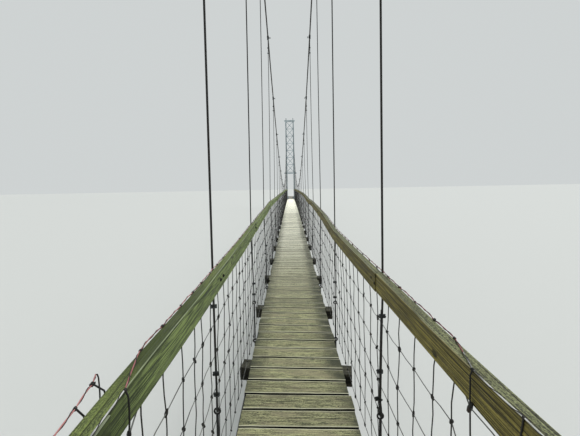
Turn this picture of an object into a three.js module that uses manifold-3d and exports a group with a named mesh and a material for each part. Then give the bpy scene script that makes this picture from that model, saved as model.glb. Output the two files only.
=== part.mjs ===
// A narrow suspension footbridge: timber deck and handrails, wire rope cables and hangers, steel towers.
// Sizes below are those of the real bridge in millimetres. The finished group is half of that size.
// The bridge runs along Y, its middle is at Y = 0, and Z = 0 is the underside of the footings.

import * as THREE from "three";
import { mergeVertices } from "three/addons/utils/BufferGeometryUtils.js";
import Module from "manifold-3d";

const wasm = await Module();
wasm.setup();

// Scale and the small gap that touching pieces keep.
const modelScale = 0.5;
const gap = 0.6;

// Span and its division.
const span = 55000;
const bayCount = 25;
const transomCount = 32;
const sectionCount = 3;
const stepsPerSection = 11;
const halfSpan = span / 2;
const bay = span / bayCount;
const transomPitch = span / transomCount;
const section = span / sectionCount;

// Deck.
const deckAtTower = 900;
const camber = 200;
const deckWidth = 760;
const plankThick = 38;
const deckPastTower = 400;
const transom = { length: 940, wide: 190, deep: 110, clearOfHanger: 130 };
const stringer = { x: 270, wide: 38, deep: 140 };

// Handrails and side nets.
const rail = { topAboveDeck: 1130, deep: 89, wide: 38, inner: 363 };
const net = { thick: 4, strand: 8, top: 1120, bottom: -20, columns: 16, rows: 2 };

// Cables.
const mainCable = { radius: 12, sides: 8, lowAboveDeck: 1370, riseInTenMetres: 1070, saddleRadius: 200 };
const deckCable = { radius: 9.5, sides: 6, clearOfTransom: 1 };
const hanger = { radius: 5, sides: 6 };
const backstayAngle = Math.PI / 4;
const cableX = rail.inner + rail.wide + gap + hanger.radius;

// Towers.
const leg = { size: 127, clearOfDeck: 4, plate: 300, plateThick: 20 };
const legX = deckWidth / 2 + leg.clearOfDeck + leg.size / 2;
const footing = { wide: 1600, long: 1400, high: 450, pierWide: 580, pierLong: 500 };
const portalBeam = { above: 3120, length: 1460, high: 150, thick: 60 };
const headBeam = { length: 1240, size: 150 };
const saddle = { wide: 80, baseBelowCentre: 40, arcSteps: 8, clearOfCableStep: 500 };
const bracing = { panels: 7, bar: 56, thick: 50, abovePortalBeam: 100, belowLegTop: 30 };

// Anchor blocks, with a sloping face square to the backstays.
const anchorBlock = { wide: 1500, long: 1500, high: 1000, faceFoot: 500, faceRise: 500 };

// Materials.
const timber = (color) => new THREE.MeshStandardMaterial({ color, roughness: 0.9, metalness: 0 });
const steel = (color, roughness) => new THREE.MeshStandardMaterial({ color, roughness, metalness: 0.7 });
const paint = {
  plank: () => timber(0x8f8a76),
  transom: () => timber(0x4a3f33),
  railTimber: () => timber(0x8a8468),
  wireRope: () => steel(0x2c2b29, 0.6),
  netWire: () => steel(0x3a3a38, 0.6),
  galvanised: () => steel(0xa9b7bd, 0.5),
  concrete: () => new THREE.MeshStandardMaterial({ color: 0x9a968c, roughness: 0.95, metalness: 0 }),
};

const bridge = new THREE.Group();
bridge.scale.setScalar(modelScale);

function addPiece(name, geometry, material) {
  const piece = new THREE.Mesh(geometry, material);
  piece.name = name;
  bridge.add(piece);
  return piece;
}

// Height of the deck's walking face: a shallow arch, straight between evenly spaced steps.
const deckStep = section / stepsPerSection;

function deckArch(y) {
  const inside = Math.min(Math.abs(y), halfSpan) / halfSpan;
  return deckAtTower + camber * (1 - inside * inside);
}

function deckTop(y) {
  const from = Math.floor((y + halfSpan) / deckStep) * deckStep - halfSpan;
  const along = (y - from) / deckStep;
  return deckArch(from) * (1 - along) + deckArch(from + deckStep) * along;
}

function deckSlope(y) {
  const reach = transom.wide / 10;
  return Math.atan2(deckTop(y + reach) - deckTop(y - reach), 2 * reach);
}

// Booleans on closed geometries.
function toSolid(geometry) {
  const bare = geometry.clone();
  bare.deleteAttribute("normal");
  bare.deleteAttribute("uv");
  const merged = mergeVertices(bare, 1e-3);
  return new wasm.Manifold(
    new wasm.Mesh({
      numProp: 3,
      vertProperties: new Float32Array(merged.attributes.position.array),
      triVerts: new Uint32Array(merged.index.array),
    }),
  );
}

function toGeometry(solid) {
  const mesh = solid.getMesh();
  const positions = new Float32Array(mesh.numVert * 3);
  for (let i = 0; i < mesh.numVert; i++) {
    positions.set(mesh.vertProperties.subarray(i * mesh.numProp, i * mesh.numProp + 3), i * 3);
  }
  const geometry = new THREE.BufferGeometry();
  geometry.setAttribute("position", new THREE.BufferAttribute(positions, 3));
  geometry.setIndex(new THREE.BufferAttribute(new Uint32Array(mesh.triVerts), 1));
  geometry.computeVertexNormals();
  return geometry;
}

const joined = (geometries) => toGeometry(geometries.map(toSolid).reduce((a, b) => a.add(b)));

function box(wide, long, high, x, y, z) {
  return new THREE.BoxGeometry(wide, long, high).translate(x, y, z);
}

// A side outline, points as [y, z], given its width in X.
function sideExtrusion(outline, holes, x0, wide) {
  const asPath = (points) => points.map(([y, z]) => new THREE.Vector2(y, z));
  const shape = new THREE.Shape(asPath(outline));
  shape.holes = holes.map((points) => new THREE.Path(asPath(points)));
  const geometry = new THREE.ExtrudeGeometry(shape, { depth: wide, bevelEnabled: false });
  const turn = new THREE.Matrix4().makeBasis(
    new THREE.Vector3(0, 1, 0),
    new THREE.Vector3(0, 0, 1),
    new THREE.Vector3(1, 0, 0),
  );
  return geometry.applyMatrix4(turn).translate(x0, 0, 0);
}

// A band that follows the deck's arch between two heights above its walking face.
function archBand(y0, y1, low, high, x0, wide) {
  const places = bandPlaces(y0, y1);
  const under = places.map((y) => [y, deckTop(y) + low]);
  const over = places.map((y) => [y, deckTop(y) + high]).reverse();
  return sideExtrusion([...under, ...over], [], x0, wide);
}

function bandPlaces(y0, y1) {
  const places = [y0];
  for (let i = 0; i <= sectionCount * stepsPerSection; i++) {
    const y = i * deckStep - halfSpan;
    if (y > y0 + gap && y < y1 - gap) places.push(y);
  }
  return [...places, y1];
}

// A cable through given points, with one step between each two.
class CableLine extends THREE.Curve {
  constructor(points) {
    super();
    this.points = points;
  }
  getPoint(t, target = new THREE.Vector3()) {
    const last = this.points.length - 1;
    const at = Math.min(Math.floor(t * last + 1e-9), last - 1);
    return target.lerpVectors(this.points[at], this.points[at + 1], t * last - at);
  }
  getPointAt(u, target) {
    return this.getPoint(u, target);
  }
  getTangentAt(u, target = new THREE.Vector3()) {
    const last = this.points.length - 1;
    const at = Math.round(u * last);
    const after = this.points[Math.min(at + 1, last)];
    const before = this.points[Math.max(at - 1, 0)];
    return target.subVectors(after, before).normalize();
  }
}

function cable(points, radius, sides) {
  const rim = [];
  for (let i = 0; i < sides; i++) {
    const angle = ((i + 0.5) / sides) * Math.PI * 2;
    rim.push(new THREE.Vector2(radius * Math.cos(angle), radius * Math.sin(angle)));
  }
  return new THREE.ExtrudeGeometry(new THREE.Shape(rim), {
    steps: points.length - 1,
    extrudePath: new CableLine(points),
  });
}

// Main cable: a parabola between the towers, an arc over each saddle, a straight backstay to each anchor.
const tenMetres = 10000;
const cableCurve = mainCable.riseInTenMetres / tenMetres ** 2;
const cableLow = deckAtTower + camber + mainCable.lowAboveDeck;
const cableZ = (y) => cableLow + cableCurve * y * y;
const cableAngle = (y) => Math.atan(2 * cableCurve * y);
const leaveY = halfSpan - mainCable.saddleRadius * Math.sin(cableAngle(halfSpan));
const leaveAngle = cableAngle(leaveY);
const saddleY = leaveY + mainCable.saddleRadius * Math.sin(leaveAngle);
const saddleZ = cableZ(leaveY) - mainCable.saddleRadius * Math.cos(leaveAngle);
const anchorFaceZ = anchorBlock.faceFoot + anchorBlock.faceRise / 2;
const backTop = {
  y: saddleY + mainCable.saddleRadius * Math.sin(backstayAngle),
  z: saddleZ + mainCable.saddleRadius * Math.cos(backstayAngle),
};
const backstayDrop = backTop.z - anchorFaceZ;
const anchorFaceY = backTop.y + backstayDrop / Math.tan(backstayAngle);

function mainCablePoints(x) {
  const half = [];
  for (let i = 0; i < Math.ceil(bayCount / 2); i++) {
    const y = (i + 0.5) * bay;
    if (y < leaveY - saddle.clearOfCableStep) half.push([y, cableZ(y)]);
  }
  for (let i = 0; i <= saddle.arcSteps; i++) {
    const angle = -leaveAngle + ((leaveAngle + backstayAngle) * i) / saddle.arcSteps;
    half.push([
      saddleY + mainCable.saddleRadius * Math.sin(angle),
      saddleZ + mainCable.saddleRadius * Math.cos(angle),
    ]);
  }
  const short = gap * Math.SQRT1_2;
  half.push([anchorFaceY - short, anchorFaceZ + short]);
  const mirrored = half.map(([y, z]) => [-y, z]).reverse();
  return [...mirrored, ...half].map(([y, z]) => new THREE.Vector3(x, y, z));
}

const sides = [
  { name: "left", sign: -1 },
  { name: "right", sign: 1 },
];
const ends = [
  { name: "near", sign: -1 },
  { name: "far", sign: 1 },
];
const sections = ["near", "middle", "far"].map((name, i) => ({
  name,
  y0: -halfSpan + i * section,
  y1: -halfSpan + (i + 1) * section,
}));

for (const side of sides) {
  const points = mainCablePoints(side.sign * cableX);
  addPiece(side.name + "_main_cable", cable(points, mainCable.radius, mainCable.sides), paint.wireRope());
}

// Deck cables and the hangers that stand on them, one per bay line, up to the main cable.
const deckCableDepth = plankThick + gap + transom.deep + deckCable.clearOfTransom + deckCable.radius;
const deckCableZ = (y) => deckArch(y) - deckCableDepth;
const hangerPlaces = [];
for (let i = 1; i < bayCount; i++) hangerPlaces.push(-halfSpan + i * bay);

function hangerLine(x) {
  const endY = halfSpan - leg.size / 2 - gap;
  const points = [-endY, ...hangerPlaces, endY].map((y) => new THREE.Vector3(x, y, deckCableZ(y)));
  const pieces = [cable(points, deckCable.radius, deckCable.sides)];
  for (const y of hangerPlaces) {
    const slack = gap + mainCable.radius / Math.cos(cableAngle(y));
    const top = cableZ(y) - slack - hanger.radius;
    const foot = deckCableZ(y);
    const rope = new THREE.CylinderGeometry(hanger.radius, hanger.radius, top - foot, hanger.sides);
    pieces.push(rope.rotateX(Math.PI / 2).translate(x, y, (top + foot) / 2));
  }
  return joined(pieces);
}

for (const side of sides) {
  addPiece(side.name + "_hangers_and_deck_cable", hangerLine(side.sign * cableX), paint.wireRope());
}

// Deck: in each section a slab of planks on two stringers and the transoms.
function transomPlace(index) {
  const even = -halfSpan + (index + 0.5) * transomPitch;
  const near = hangerPlaces.find((y) => Math.abs(y - even) < transom.clearOfHanger);
  if (near === undefined) return even;
  return near + (even < near ? -1 : 1) * transom.clearOfHanger;
}

function deckFrame(y0, y1) {
  const over = -plankThick - gap;
  const stringers = sides.map(({ sign }) =>
    archBand(y0, y1, over - stringer.deep, over, sign * stringer.x - stringer.wide / 2, stringer.wide),
  );
  const transoms = [];
  for (let i = 0; i < transomCount; i++) {
    const y = transomPlace(i);
    if (y < y0 || y > y1) continue;
    const beam = new THREE.BoxGeometry(transom.length, transom.wide, transom.deep);
    beam.translate(0, 0, over - transom.deep / 2).rotateX(deckSlope(y)).translate(0, y, deckTop(y));
    transoms.push(beam);
  }
  return joined([...stringers, ...transoms]);
}

for (const { name, y0, y1 } of sections) {
  const atNearEnd = name === "near";
  const atFarEnd = name === "far";
  const slabFrom = atNearEnd ? y0 - deckPastTower : y0 + gap / 2;
  const slabTo = atFarEnd ? y1 + deckPastTower : y1 - gap / 2;
  const slab = archBand(slabFrom, slabTo, -plankThick, 0, -deckWidth / 2, deckWidth);
  addPiece(name + "_deck_planks", slab, paint.plank());
  const pierFace = halfSpan - footing.pierLong / 2 - gap;
  const frameFrom = atNearEnd ? -pierFace : y0 + gap / 2;
  const frameTo = atFarEnd ? pierFace : y1 - gap / 2;
  addPiece(name + "_deck_frame", deckFrame(frameFrom, frameTo), paint.transom());
}

// Handrails and side nets.
function netPanel(y0, y1, x0) {
  const column = (y1 - y0) / net.columns;
  const row = (net.top - net.bottom) / net.rows;
  const half = net.strand / 2;
  const place = (y, above) => [y, deckTop(y) + above];
  const holes = [];
  for (let i = 0; i < net.columns; i++) {
    for (let j = 0; j < net.rows; j++) {
      const from = y0 + i * column + half;
      const to = y0 + (i + 1) * column - half;
      const low = net.bottom + j * row + half;
      const high = net.bottom + (j + 1) * row - half;
      holes.push([place(from, low), place(to, low), place(to, high), place(from, high)]);
    }
  }
  const lines = [];
  for (let i = 0; i <= net.columns; i++) lines.push(y0 + i * column);
  lines[0] -= half - gap / 2;
  lines[net.columns] += half - gap / 2;
  const under = lines.map((y) => place(y, net.bottom - half));
  const over = lines.map((y) => place(y, net.top + half)).reverse();
  return sideExtrusion([...under, ...over], holes, x0, net.thick);
}

for (const side of sides) {
  for (const { name, y0, y1 } of sections) {
    const legFace = halfSpan - leg.size / 2 - gap;
    const from = Math.max(y0 + gap / 2, -legFace);
    const to = Math.min(y1 - gap / 2, legFace);
    const railX = side.sign > 0 ? rail.inner : -rail.inner - rail.wide;
    const band = archBand(from, to, rail.topAboveDeck - rail.deep, rail.topAboveDeck, railX, rail.wide);
    addPiece(name + "_" + side.name + "_handrail", band, paint.railTimber());
    const netInner = cableX + hanger.radius + gap;
    const netX = side.sign > 0 ? netInner : -netInner - net.thick;
    const inset = net.strand / 2;
    const panel = netPanel(from + inset, to - inset, netX);
    addPiece(name + "_" + side.name + "_net", panel, paint.netWire());
  }
}

// Towers.
const headBase = saddleZ - saddle.baseBelowCentre - gap;
const legTop = headBase - headBeam.size - gap;

function towerLeg(x, y) {
  const foot = footing.high + gap;
  const plate = box(leg.plate, leg.plate, leg.plateThick, x, y, foot + leg.plateThick / 2);
  const column = box(leg.size, leg.size, legTop - foot, x, y, (legTop + foot) / 2);
  return joined([plate, column]);
}

// Saddle: a block with a round back that carries the cable.
function saddleBlock(x, end) {
  const seat = mainCable.saddleRadius - mainCable.radius - gap;
  const arc = [];
  for (let i = 0; i <= saddle.arcSteps; i++) {
    const angle = -leaveAngle + ((leaveAngle + backstayAngle) * i) / saddle.arcSteps;
    arc.push([end * (saddleY + seat * Math.sin(angle)), saddleZ + seat * Math.cos(angle)]);
  }
  const base = saddleZ - saddle.baseBelowCentre;
  const outline = [...arc, [arc[saddle.arcSteps][0], base], [arc[0][0], base]];
  return sideExtrusion(outline, [], x - saddle.wide / 2, saddle.wide);
}

// Flat lattice between the legs: a crossed pair of bars in each panel.
function towerBracing(y) {
  const half = legX - leg.size / 2 - gap;
  const low = deckAtTower + portalBeam.above + portalBeam.high / 2 + bracing.abovePortalBeam;
  const high = legTop - bracing.belowLegTop;
  const panel = (high - low) / bracing.panels;
  const bar = bracing.bar / 2;
  const shape = new THREE.Shape([
    new THREE.Vector2(-half, low),
    new THREE.Vector2(half, low),
    new THREE.Vector2(half, high),
    new THREE.Vector2(-half, high),
  ]);
  for (let i = 0; i < bracing.panels; i++) {
    const z = low + (i + 0.5) * panel;
    const w = half - bar / 2;
    const h = panel / 2 - bar;
    const lean = bar / Math.sin(Math.atan2(w, h));
    const rise = bar / Math.sin(Math.atan2(h, w));
    const hole = (points) => {
      const path = points.map(([px, pz]) => new THREE.Vector2(px, pz + z));
      shape.holes.push(new THREE.Path(path));
    };
    hole([[-w + rise, -h], [w - rise, -h], [0, -lean]]);
    hole([[w - rise, h], [-w + rise, h], [0, lean]]);
    hole([[w, -h + lean], [w, h - lean], [rise, 0]]);
    hole([[-w, h - lean], [-w, -h + lean], [-rise, 0]]);
  }
  const plate = new THREE.ExtrudeGeometry(shape, { depth: bracing.thick, bevelEnabled: false });
  return plate.rotateX(Math.PI / 2).translate(0, y + bracing.thick / 2, 0);
}

function anchorGeometry(end) {
  const front = anchorFaceY - anchorBlock.faceRise / 2;
  const outline = [
    [front, 0],
    [front + anchorBlock.long, 0],
    [front + anchorBlock.long, anchorBlock.high],
    [front + anchorBlock.faceRise, anchorBlock.high],
    [front, anchorBlock.faceFoot],
  ].map(([y, z]) => [end * y, z]);
  return sideExtrusion(outline, [], -anchorBlock.wide / 2, anchorBlock.wide);
}

for (const end of ends) {
  const y = end.sign * halfSpan;
  const pierTop = deckAtTower - plankThick - gap;
  const pad = box(footing.wide, footing.long, footing.high, 0, y, footing.high / 2);
  const pier = box(footing.pierWide, footing.pierLong, pierTop, 0, y, pierTop / 2);
  addPiece(end.name + "_footing", joined([pad, pier]), paint.concrete());
  for (const side of sides) {
    const name = end.name + "_tower_" + side.name;
    addPiece(name + "_leg", towerLeg(side.sign * legX, y), paint.galvanised());
    addPiece(name + "_saddle", saddleBlock(side.sign * cableX, end.sign), paint.galvanised());
  }
  const beamY = y - end.sign * (leg.size / 2 + gap + portalBeam.thick / 2);
  const beamZ = deckAtTower + portalBeam.above;
  addPiece(
    end.name + "_tower_portal_beam",
    box(portalBeam.length, portalBeam.thick, portalBeam.high, 0, beamY, beamZ),
    paint.galvanised(),
  );
  addPiece(end.name + "_tower_bracing", towerBracing(y), paint.galvanised());
  addPiece(
    end.name + "_tower_head_beam",
    box(headBeam.length, headBeam.size, headBeam.size, 0, y, headBase - headBeam.size / 2),
    paint.galvanised(),
  );
  addPiece(end.name + "_anchor_block", anchorGeometry(end.sign), paint.concrete());
}

export default bridge;
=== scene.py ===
# Dresses a half-size suspension footbridge: planks, rails, nets, ropes, fittings, towers and anchors
# Sizes below are those of the real bridge in metres, and finishPiece halves each mesh
import math
import random

import bmesh
import bpy
import numpy as np
from mathutils import Matrix, Vector


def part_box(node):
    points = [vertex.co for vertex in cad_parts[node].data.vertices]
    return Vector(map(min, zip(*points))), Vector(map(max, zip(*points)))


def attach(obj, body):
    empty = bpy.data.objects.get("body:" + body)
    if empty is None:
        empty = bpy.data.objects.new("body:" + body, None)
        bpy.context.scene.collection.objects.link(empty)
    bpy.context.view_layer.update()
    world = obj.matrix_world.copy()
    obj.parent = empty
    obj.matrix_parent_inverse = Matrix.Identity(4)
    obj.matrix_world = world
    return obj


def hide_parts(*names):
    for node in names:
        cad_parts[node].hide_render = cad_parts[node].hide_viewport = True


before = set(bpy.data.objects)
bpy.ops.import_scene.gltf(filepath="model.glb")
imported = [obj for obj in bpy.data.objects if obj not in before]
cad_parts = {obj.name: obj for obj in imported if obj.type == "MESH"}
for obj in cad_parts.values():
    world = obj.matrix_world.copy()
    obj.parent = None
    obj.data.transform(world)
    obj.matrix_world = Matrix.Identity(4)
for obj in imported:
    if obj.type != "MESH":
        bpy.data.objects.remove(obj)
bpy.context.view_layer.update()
print("frame:", len(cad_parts), "nodes")

modelScale = 0.5
sideSigns = {"left": -1, "right": 1}
endSigns = {"near": -1, "far": 1}
sections = ["near", "middle", "far"]


# A CAD node's corners in real metres
def realBox(node):
    low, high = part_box(node)
    return low / modelScale, high / modelScale


bridge = {
    "halfSpan": 27.5,
    "bays": 25,
    "deckAtTower": 0.9,
    "camber": 0.2,
    "cableLow": 2.47,
    "cableCurve": 0.0107,  # metres of rise for each square metre
    "cableRadius": 0.012,
    "deckCableRadius": 0.0095,
    "deckCableDepth": 0.1591,  # below the walking face
    "deckCableShort": 0.0641,  # it stops this far before a tower's middle
}
halfSpan = bridge["halfSpan"]
bay = 2 * halfSpan / bridge["bays"]
cableLowCorner, cableHighCorner = realBox("right_main_cable")
cableX = (cableLowCorner.x + cableHighCorner.x) / 2
railLowCorner, railHighCorner = realBox("near_right_handrail")
railInner, railOuter = railLowCorner.x, railHighCorner.x
railEnd = -railLowCorner.y
hangerPlaces = [-halfSpan + bay * i for i in range(1, bridge["bays"])]
eyeY = -25.2  # where the photograph was taken from
# The deck's right side hangs low in its near part: slope across, where it grows and where it fades
lean = {"slope": 0.042, "grows": (-26.0, -20.5), "fades": (-21.5, -13.5)}


def smoothStep(value, low, high):
    share = np.clip((value - low) / (high - low), 0, 1)
    return share * share * (3 - 2 * share)


def leanAt(y):
    return lean["slope"] * smoothStep(y, *lean["grows"]) * (1 - smoothStep(y, *lean["fades"]))


def deckTop(y, x=0):
    inside = np.minimum(np.abs(y), halfSpan) / halfSpan
    return bridge["deckAtTower"] + bridge["camber"] * (1 - inside * inside) - x * leanAt(y)


def cableZ(y):
    return bridge["cableLow"] + bridge["cableCurve"] * y * y


def sectionRange(section):
    low, high = realBox(section + "_deck_planks")
    return low.y, high.y


# One output of a node in a material or a geometry tree. Sums with it add the nodes that they need
class Output:
    def __init__(self, socket):
        self.socket = socket

    def __add__(self, other):
        return calc("ADD", self, other)

    def __sub__(self, other):
        return calc("SUBTRACT", self, other)

    def __rsub__(self, other):
        return calc("SUBTRACT", other, self)

    def __mul__(self, other):
        return calc("MULTIPLY", self, other)

    def __truediv__(self, other):
        return calc("DIVIDE", self, other)

    def __gt__(self, other):
        return calc("GREATER_THAN", self, other)

    def __lt__(self, other):
        return calc("LESS_THAN", self, other)

    def __abs__(self):
        return calc("ABSOLUTE", self)


def feed(socket, value):
    if isinstance(value, Output):
        socket.id_data.links.new(value.socket, socket)
    else:
        socket.default_value = value


def addNode(tree, kind, feeds=None, output=0, **settings):
    node = tree.nodes.new(kind)
    for key, value in settings.items():
        setattr(node, key, value)
    for key, value in (feeds or {}).items():
        feed(node.inputs[key], value)
    return Output(node.outputs[output])


def treeOf(*values):
    return next(value.socket.id_data for value in values if isinstance(value, Output))


def calc(operation, *values, clamped=False):
    feeds = dict(enumerate(values))
    return addNode(treeOf(*values), "ShaderNodeMath", feeds, operation=operation, use_clamp=clamped)


def calcVector(operation, first, second):
    feeds = {0: first, "Scale" if operation == "SCALE" else 1: second}
    return addNode(treeOf(first, second), "ShaderNodeVectorMath", feeds, operation=operation)


def ramp(value, low, high, toLow=0.0, toHigh=1.0):
    feeds = {"Value": value, "From Min": low, "From Max": high, "To Min": toLow, "To Max": toHigh}
    return addNode(treeOf(value), "ShaderNodeMapRange", feeds, "Result", interpolation_type="SMOOTHSTEP")


def vectorOf(x, y, z):
    return addNode(treeOf(x, y, z), "ShaderNodeCombineXYZ", {"X": x, "Y": y, "Z": z})


def partsOf(vector):
    node = addNode(treeOf(vector), "ShaderNodeSeparateXYZ", {0: vector}).socket.node
    return [Output(socket) for socket in node.outputs]


# Noise with one scale, or with three for the three directions
def noiseOf(vector, scale, detail=3.0, roughness=0.55, output=0):
    if isinstance(scale, tuple):
        vector, scale = calcVector("MULTIPLY", vector, scale), 1.0
    feeds = {"Vector": vector, "Scale": scale, "Detail": detail, "Roughness": roughness}
    return addNode(treeOf(vector), "ShaderNodeTexNoise", feeds, output)


def mixColour(factor, first, second, blend="MIX"):
    first, second = [value if isinstance(value, Output) else (*value, 1) for value in (first, second)]
    tree = treeOf(factor, first, second)
    feeds = {0: factor, 6: first, 7: second}
    return addNode(tree, "ShaderNodeMix", feeds, 2, data_type="RGBA", blend_type=blend)


# Materials: each starts from a Principled shader and gets its colour, roughness and bump from nodes
def startMaterial(name, metallic=0.0, roughness=0.8, specular=0.5):
    material = bpy.data.materials.new(name)
    material.use_nodes = True
    shader = material.node_tree.nodes["Principled BSDF"]
    for key, value in (("Metallic", metallic), ("Roughness", roughness), ("Specular IOR Level", specular)):
        shader.inputs[key].default_value = value
    return material, material.node_tree


def endMaterial(material, colour, roughness, height, look):
    inputs = material.node_tree.nodes["Principled BSDF"].inputs
    feed(inputs["Base Color"], colour)
    feed(inputs["Roughness"], roughness)
    feeds = {"Height": height, "Distance": look["relief"] * modelScale, "Strength": 1.0}
    feed(inputs["Normal"], addNode(material.node_tree, "ShaderNodeBump", feeds))
    return material


def objectPlace(tree):
    return addNode(tree, "ShaderNodeTexCoord", None, "Object")


def readAttribute(tree, name, output="Fac"):
    return addNode(tree, "ShaderNodeAttribute", None, output, attribute_name=name)


# Weathered timber. Boards carry grain (their own coordinates), tone, stain, bleach with painted light, worn
# edges with a painted highlight, and painted shade on a plank's sides and underside
def timber(name, look):
    material, tree = startMaterial(name, roughness=0.85, specular=look["gloss"])
    grain = readAttribute(tree, "grain", "Vector")
    bend = vectorOf(0.0, noiseOf(grain, (1.1, 6, 6), 2.0) * look["wander"], 0.0)
    feeds = {"Vector": calcVector("MULTIPLY", calcVector("ADD", grain, bend), (0.06, 1, 1)),
             "Scale": look["rings"], "Distortion": 2.2, "Detail": 2.0, "Detail Scale": 0.14}
    rings = addNode(tree, "ShaderNodeTexWave", feeds, 1, wave_type="RINGS", rings_direction="X")
    fibre = noiseOf(grain, look["fibre"], 3.0, 0.65)
    streak = noiseOf(grain, look["streak"], 3.0, 0.6)
    mottle = noiseOf(grain, look["mottle"], 3.0, 0.7)
    crack = noiseOf(grain, (2.4, 130, 130), 2.0, 0.5)
    blotch = noiseOf(grain, (5, 9, 9), 4.0, 0.65)
    feeds = {"Vector": calcVector("MULTIPLY", grain, (3.5, 7, 7)), "Scale": 1.0}
    knot = ramp(addNode(tree, "ShaderNodeTexVoronoi", feeds, "Distance"), 0.05, 0.10, 1.0, 0.0)

    lines = ramp(rings, 0.15, 0.9)
    streaks = ramp(streak, 0.40, 0.60)
    if look.get("sawn"):
        streaks = streaks * (ramp(noiseOf(grain, (75, 6, 6)), 0.40, 0.60) + 0.25)
    fibres = ramp(fibre, 0.42, 0.60)
    mottles = ramp(mottle, 0.40, 0.62)
    pattern = fibres * (1 - look["ringShare"] - look["streakShare"] - look["mottleShare"])
    for part, share in ((lines, "ringShare"), (streaks, "streakShare"), (mottles, "mottleShare")):
        pattern = pattern + part * look[share]
    if "contrast" in look:
        pattern = ramp(pattern, *look["contrast"])
    colour = mixColour(pattern, look["dark"], look["light"])
    if "topDark" in look:
        topColour = mixColour(mottles * 0.5 + pattern * 0.5, look["topDark"], look["topLight"])
        colour = mixColour(readAttribute(tree, "upper"), colour, topColour)
    colour = mixColour(ramp(blotch, 0.46, 0.66, 0.0, look["blotches"]), colour, look["stain"])
    if "tint" in look:
        colour = mixColour(ramp(noiseOf(grain, (3, 12, 12)), 0.45, 0.65, 0.0, 0.5), colour, look["tint"])
    # Boards turn paler by the bleach mark: real bleaching, and on the deck's far part painted light as well
    bleachAndLightBy = calc("MULTIPLY", readAttribute(tree, "bleach"), pattern + 0.7, clamped=True)
    colour = mixColour(bleachAndLightBy, colour, look["bleachedAndLit"])
    stainBy = readAttribute(tree, "stain") * ramp(blotch, 0.35, 0.6, 0.65, 1.0)
    colour = mixColour(stainBy, colour, look["stain"])
    if "band" in look:
        top, bottom, depth = look["band"]
        below = readAttribute(tree, "below")
        band = ramp(below, top, top + 0.0015) * ramp(below, bottom, bottom + 0.003, 1, 0)
        colour = mixColour(band * ramp(streak, 0.3, 0.6, depth, depth * 0.4), colour, look["groove"])
    # Painted highlight: the top edges, and a plank's rim along its long sides, are painted paler, for wear
    # and for the light they catch
    arrisBy = readAttribute(tree, "arris") * ramp(blotch, 0.35, 0.6, 0.95, 0.55)
    if "rim" in look:
        rim = ramp(abs(readAttribute(tree, "across")), look["rim"] - 0.012, look["rim"] - 0.003, 0.0, 0.85)
        arrisBy = calc("MAXIMUM", arrisBy, rim)
    colour = mixColour(arrisBy, colour, look["arris"])
    cracks = ramp(crack, 0.33, 0.39, 1.0, 0.0)
    dirt = calc("MAXIMUM", cracks * look["cracks"], knot * 0.8)
    # Cracks and knots darken to the groove colour, and so do a plank's sides and underside as painted shade
    colour = mixColour(calc("MAXIMUM", dirt, readAttribute(tree, "damp")), colour, look["groove"])
    toned = calcVector("SCALE", colour, readAttribute(tree, "tone") * look["toneSpread"] + 1.0)
    height = lines * 0.25 + fibres * 0.6 - calc("MAXIMUM", cracks, knot) * 1.2
    return endMaterial(material, toned, ramp(fibre, 0.4, 0.6, *look["rough"]), height, look)


# Stranded wire rope on the piece's UV map: U runs along in metres, V once round
def wireRope(name, look):
    material, tree = startMaterial(name, metallic=0.35, roughness=0.6)
    place = objectPlace(tree)
    along, around = partsOf(addNode(tree, "ShaderNodeUVMap"))[:2]
    strand = abs(calc("SINE", (around + along / look["lay"]) * (math.pi * look["strands"])))
    wires = calc("SINE", (around - along / (look["lay"] * 0.4)) * (2 * math.pi * look["wires"]))
    rust = ramp(noiseOf(place, 3.0, 5.0), 0.48, 0.72, 0.0, look["rusty"])
    colour = mixColour(rust, mixColour(ramp(strand, 0.1, 0.9), look["groove"], look["crown"]), look["rust"])
    height = strand + wires * 0.12
    return endMaterial(material, colour, ramp(rust, 0.0, 0.5, 0.55, 0.9), height, look)


# Thin wire and forged fittings: dull metal with a patchy oxide
def dullMetal(name, look):
    material, tree = startMaterial(name, metallic=look["metallic"], roughness=0.6)
    place = objectPlace(tree)
    patch = noiseOf(place, look["patch"], 5.0, 0.62)
    speck = noiseOf(place, look["patch"] * 14)
    colour = mixColour(ramp(patch, 0.36, 0.64), look["dark"], look["light"])
    colour = mixColour(ramp(speck, 0.58, 0.75, 0.0, look["rusty"]), colour, look["rust"])
    return endMaterial(material, colour, ramp(patch, 0.3, 0.7, *look["rough"]), speck + patch, look)


# Hot-dip galvanising, with faint crystals, white bloom and runs of dirt down its faces
def galvanising(name, look):
    material, tree = startMaterial(name, metallic=0.45, roughness=0.5)
    place = objectPlace(tree)
    crystals = addNode(tree, "ShaderNodeTexVoronoi", {"Vector": place, "Scale": 60.0}, "Color")
    bloom = noiseOf(place, 4.0, 5.0, 0.6)
    runs = noiseOf(place, (30, 30, 1.6), 4.0, 0.6)
    colour = mixColour(ramp(bloom, 0.35, 0.65), look["dark"], look["light"])
    colour = mixColour(0.07, colour, crystals, "SOFT_LIGHT")
    colour = mixColour(ramp(runs, 0.52, 0.75, 0.0, look["dirty"]), colour, look["dirt"])
    return endMaterial(material, colour, ramp(bloom, 0.3, 0.7, *look["rough"]), bloom + runs, look)


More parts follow.
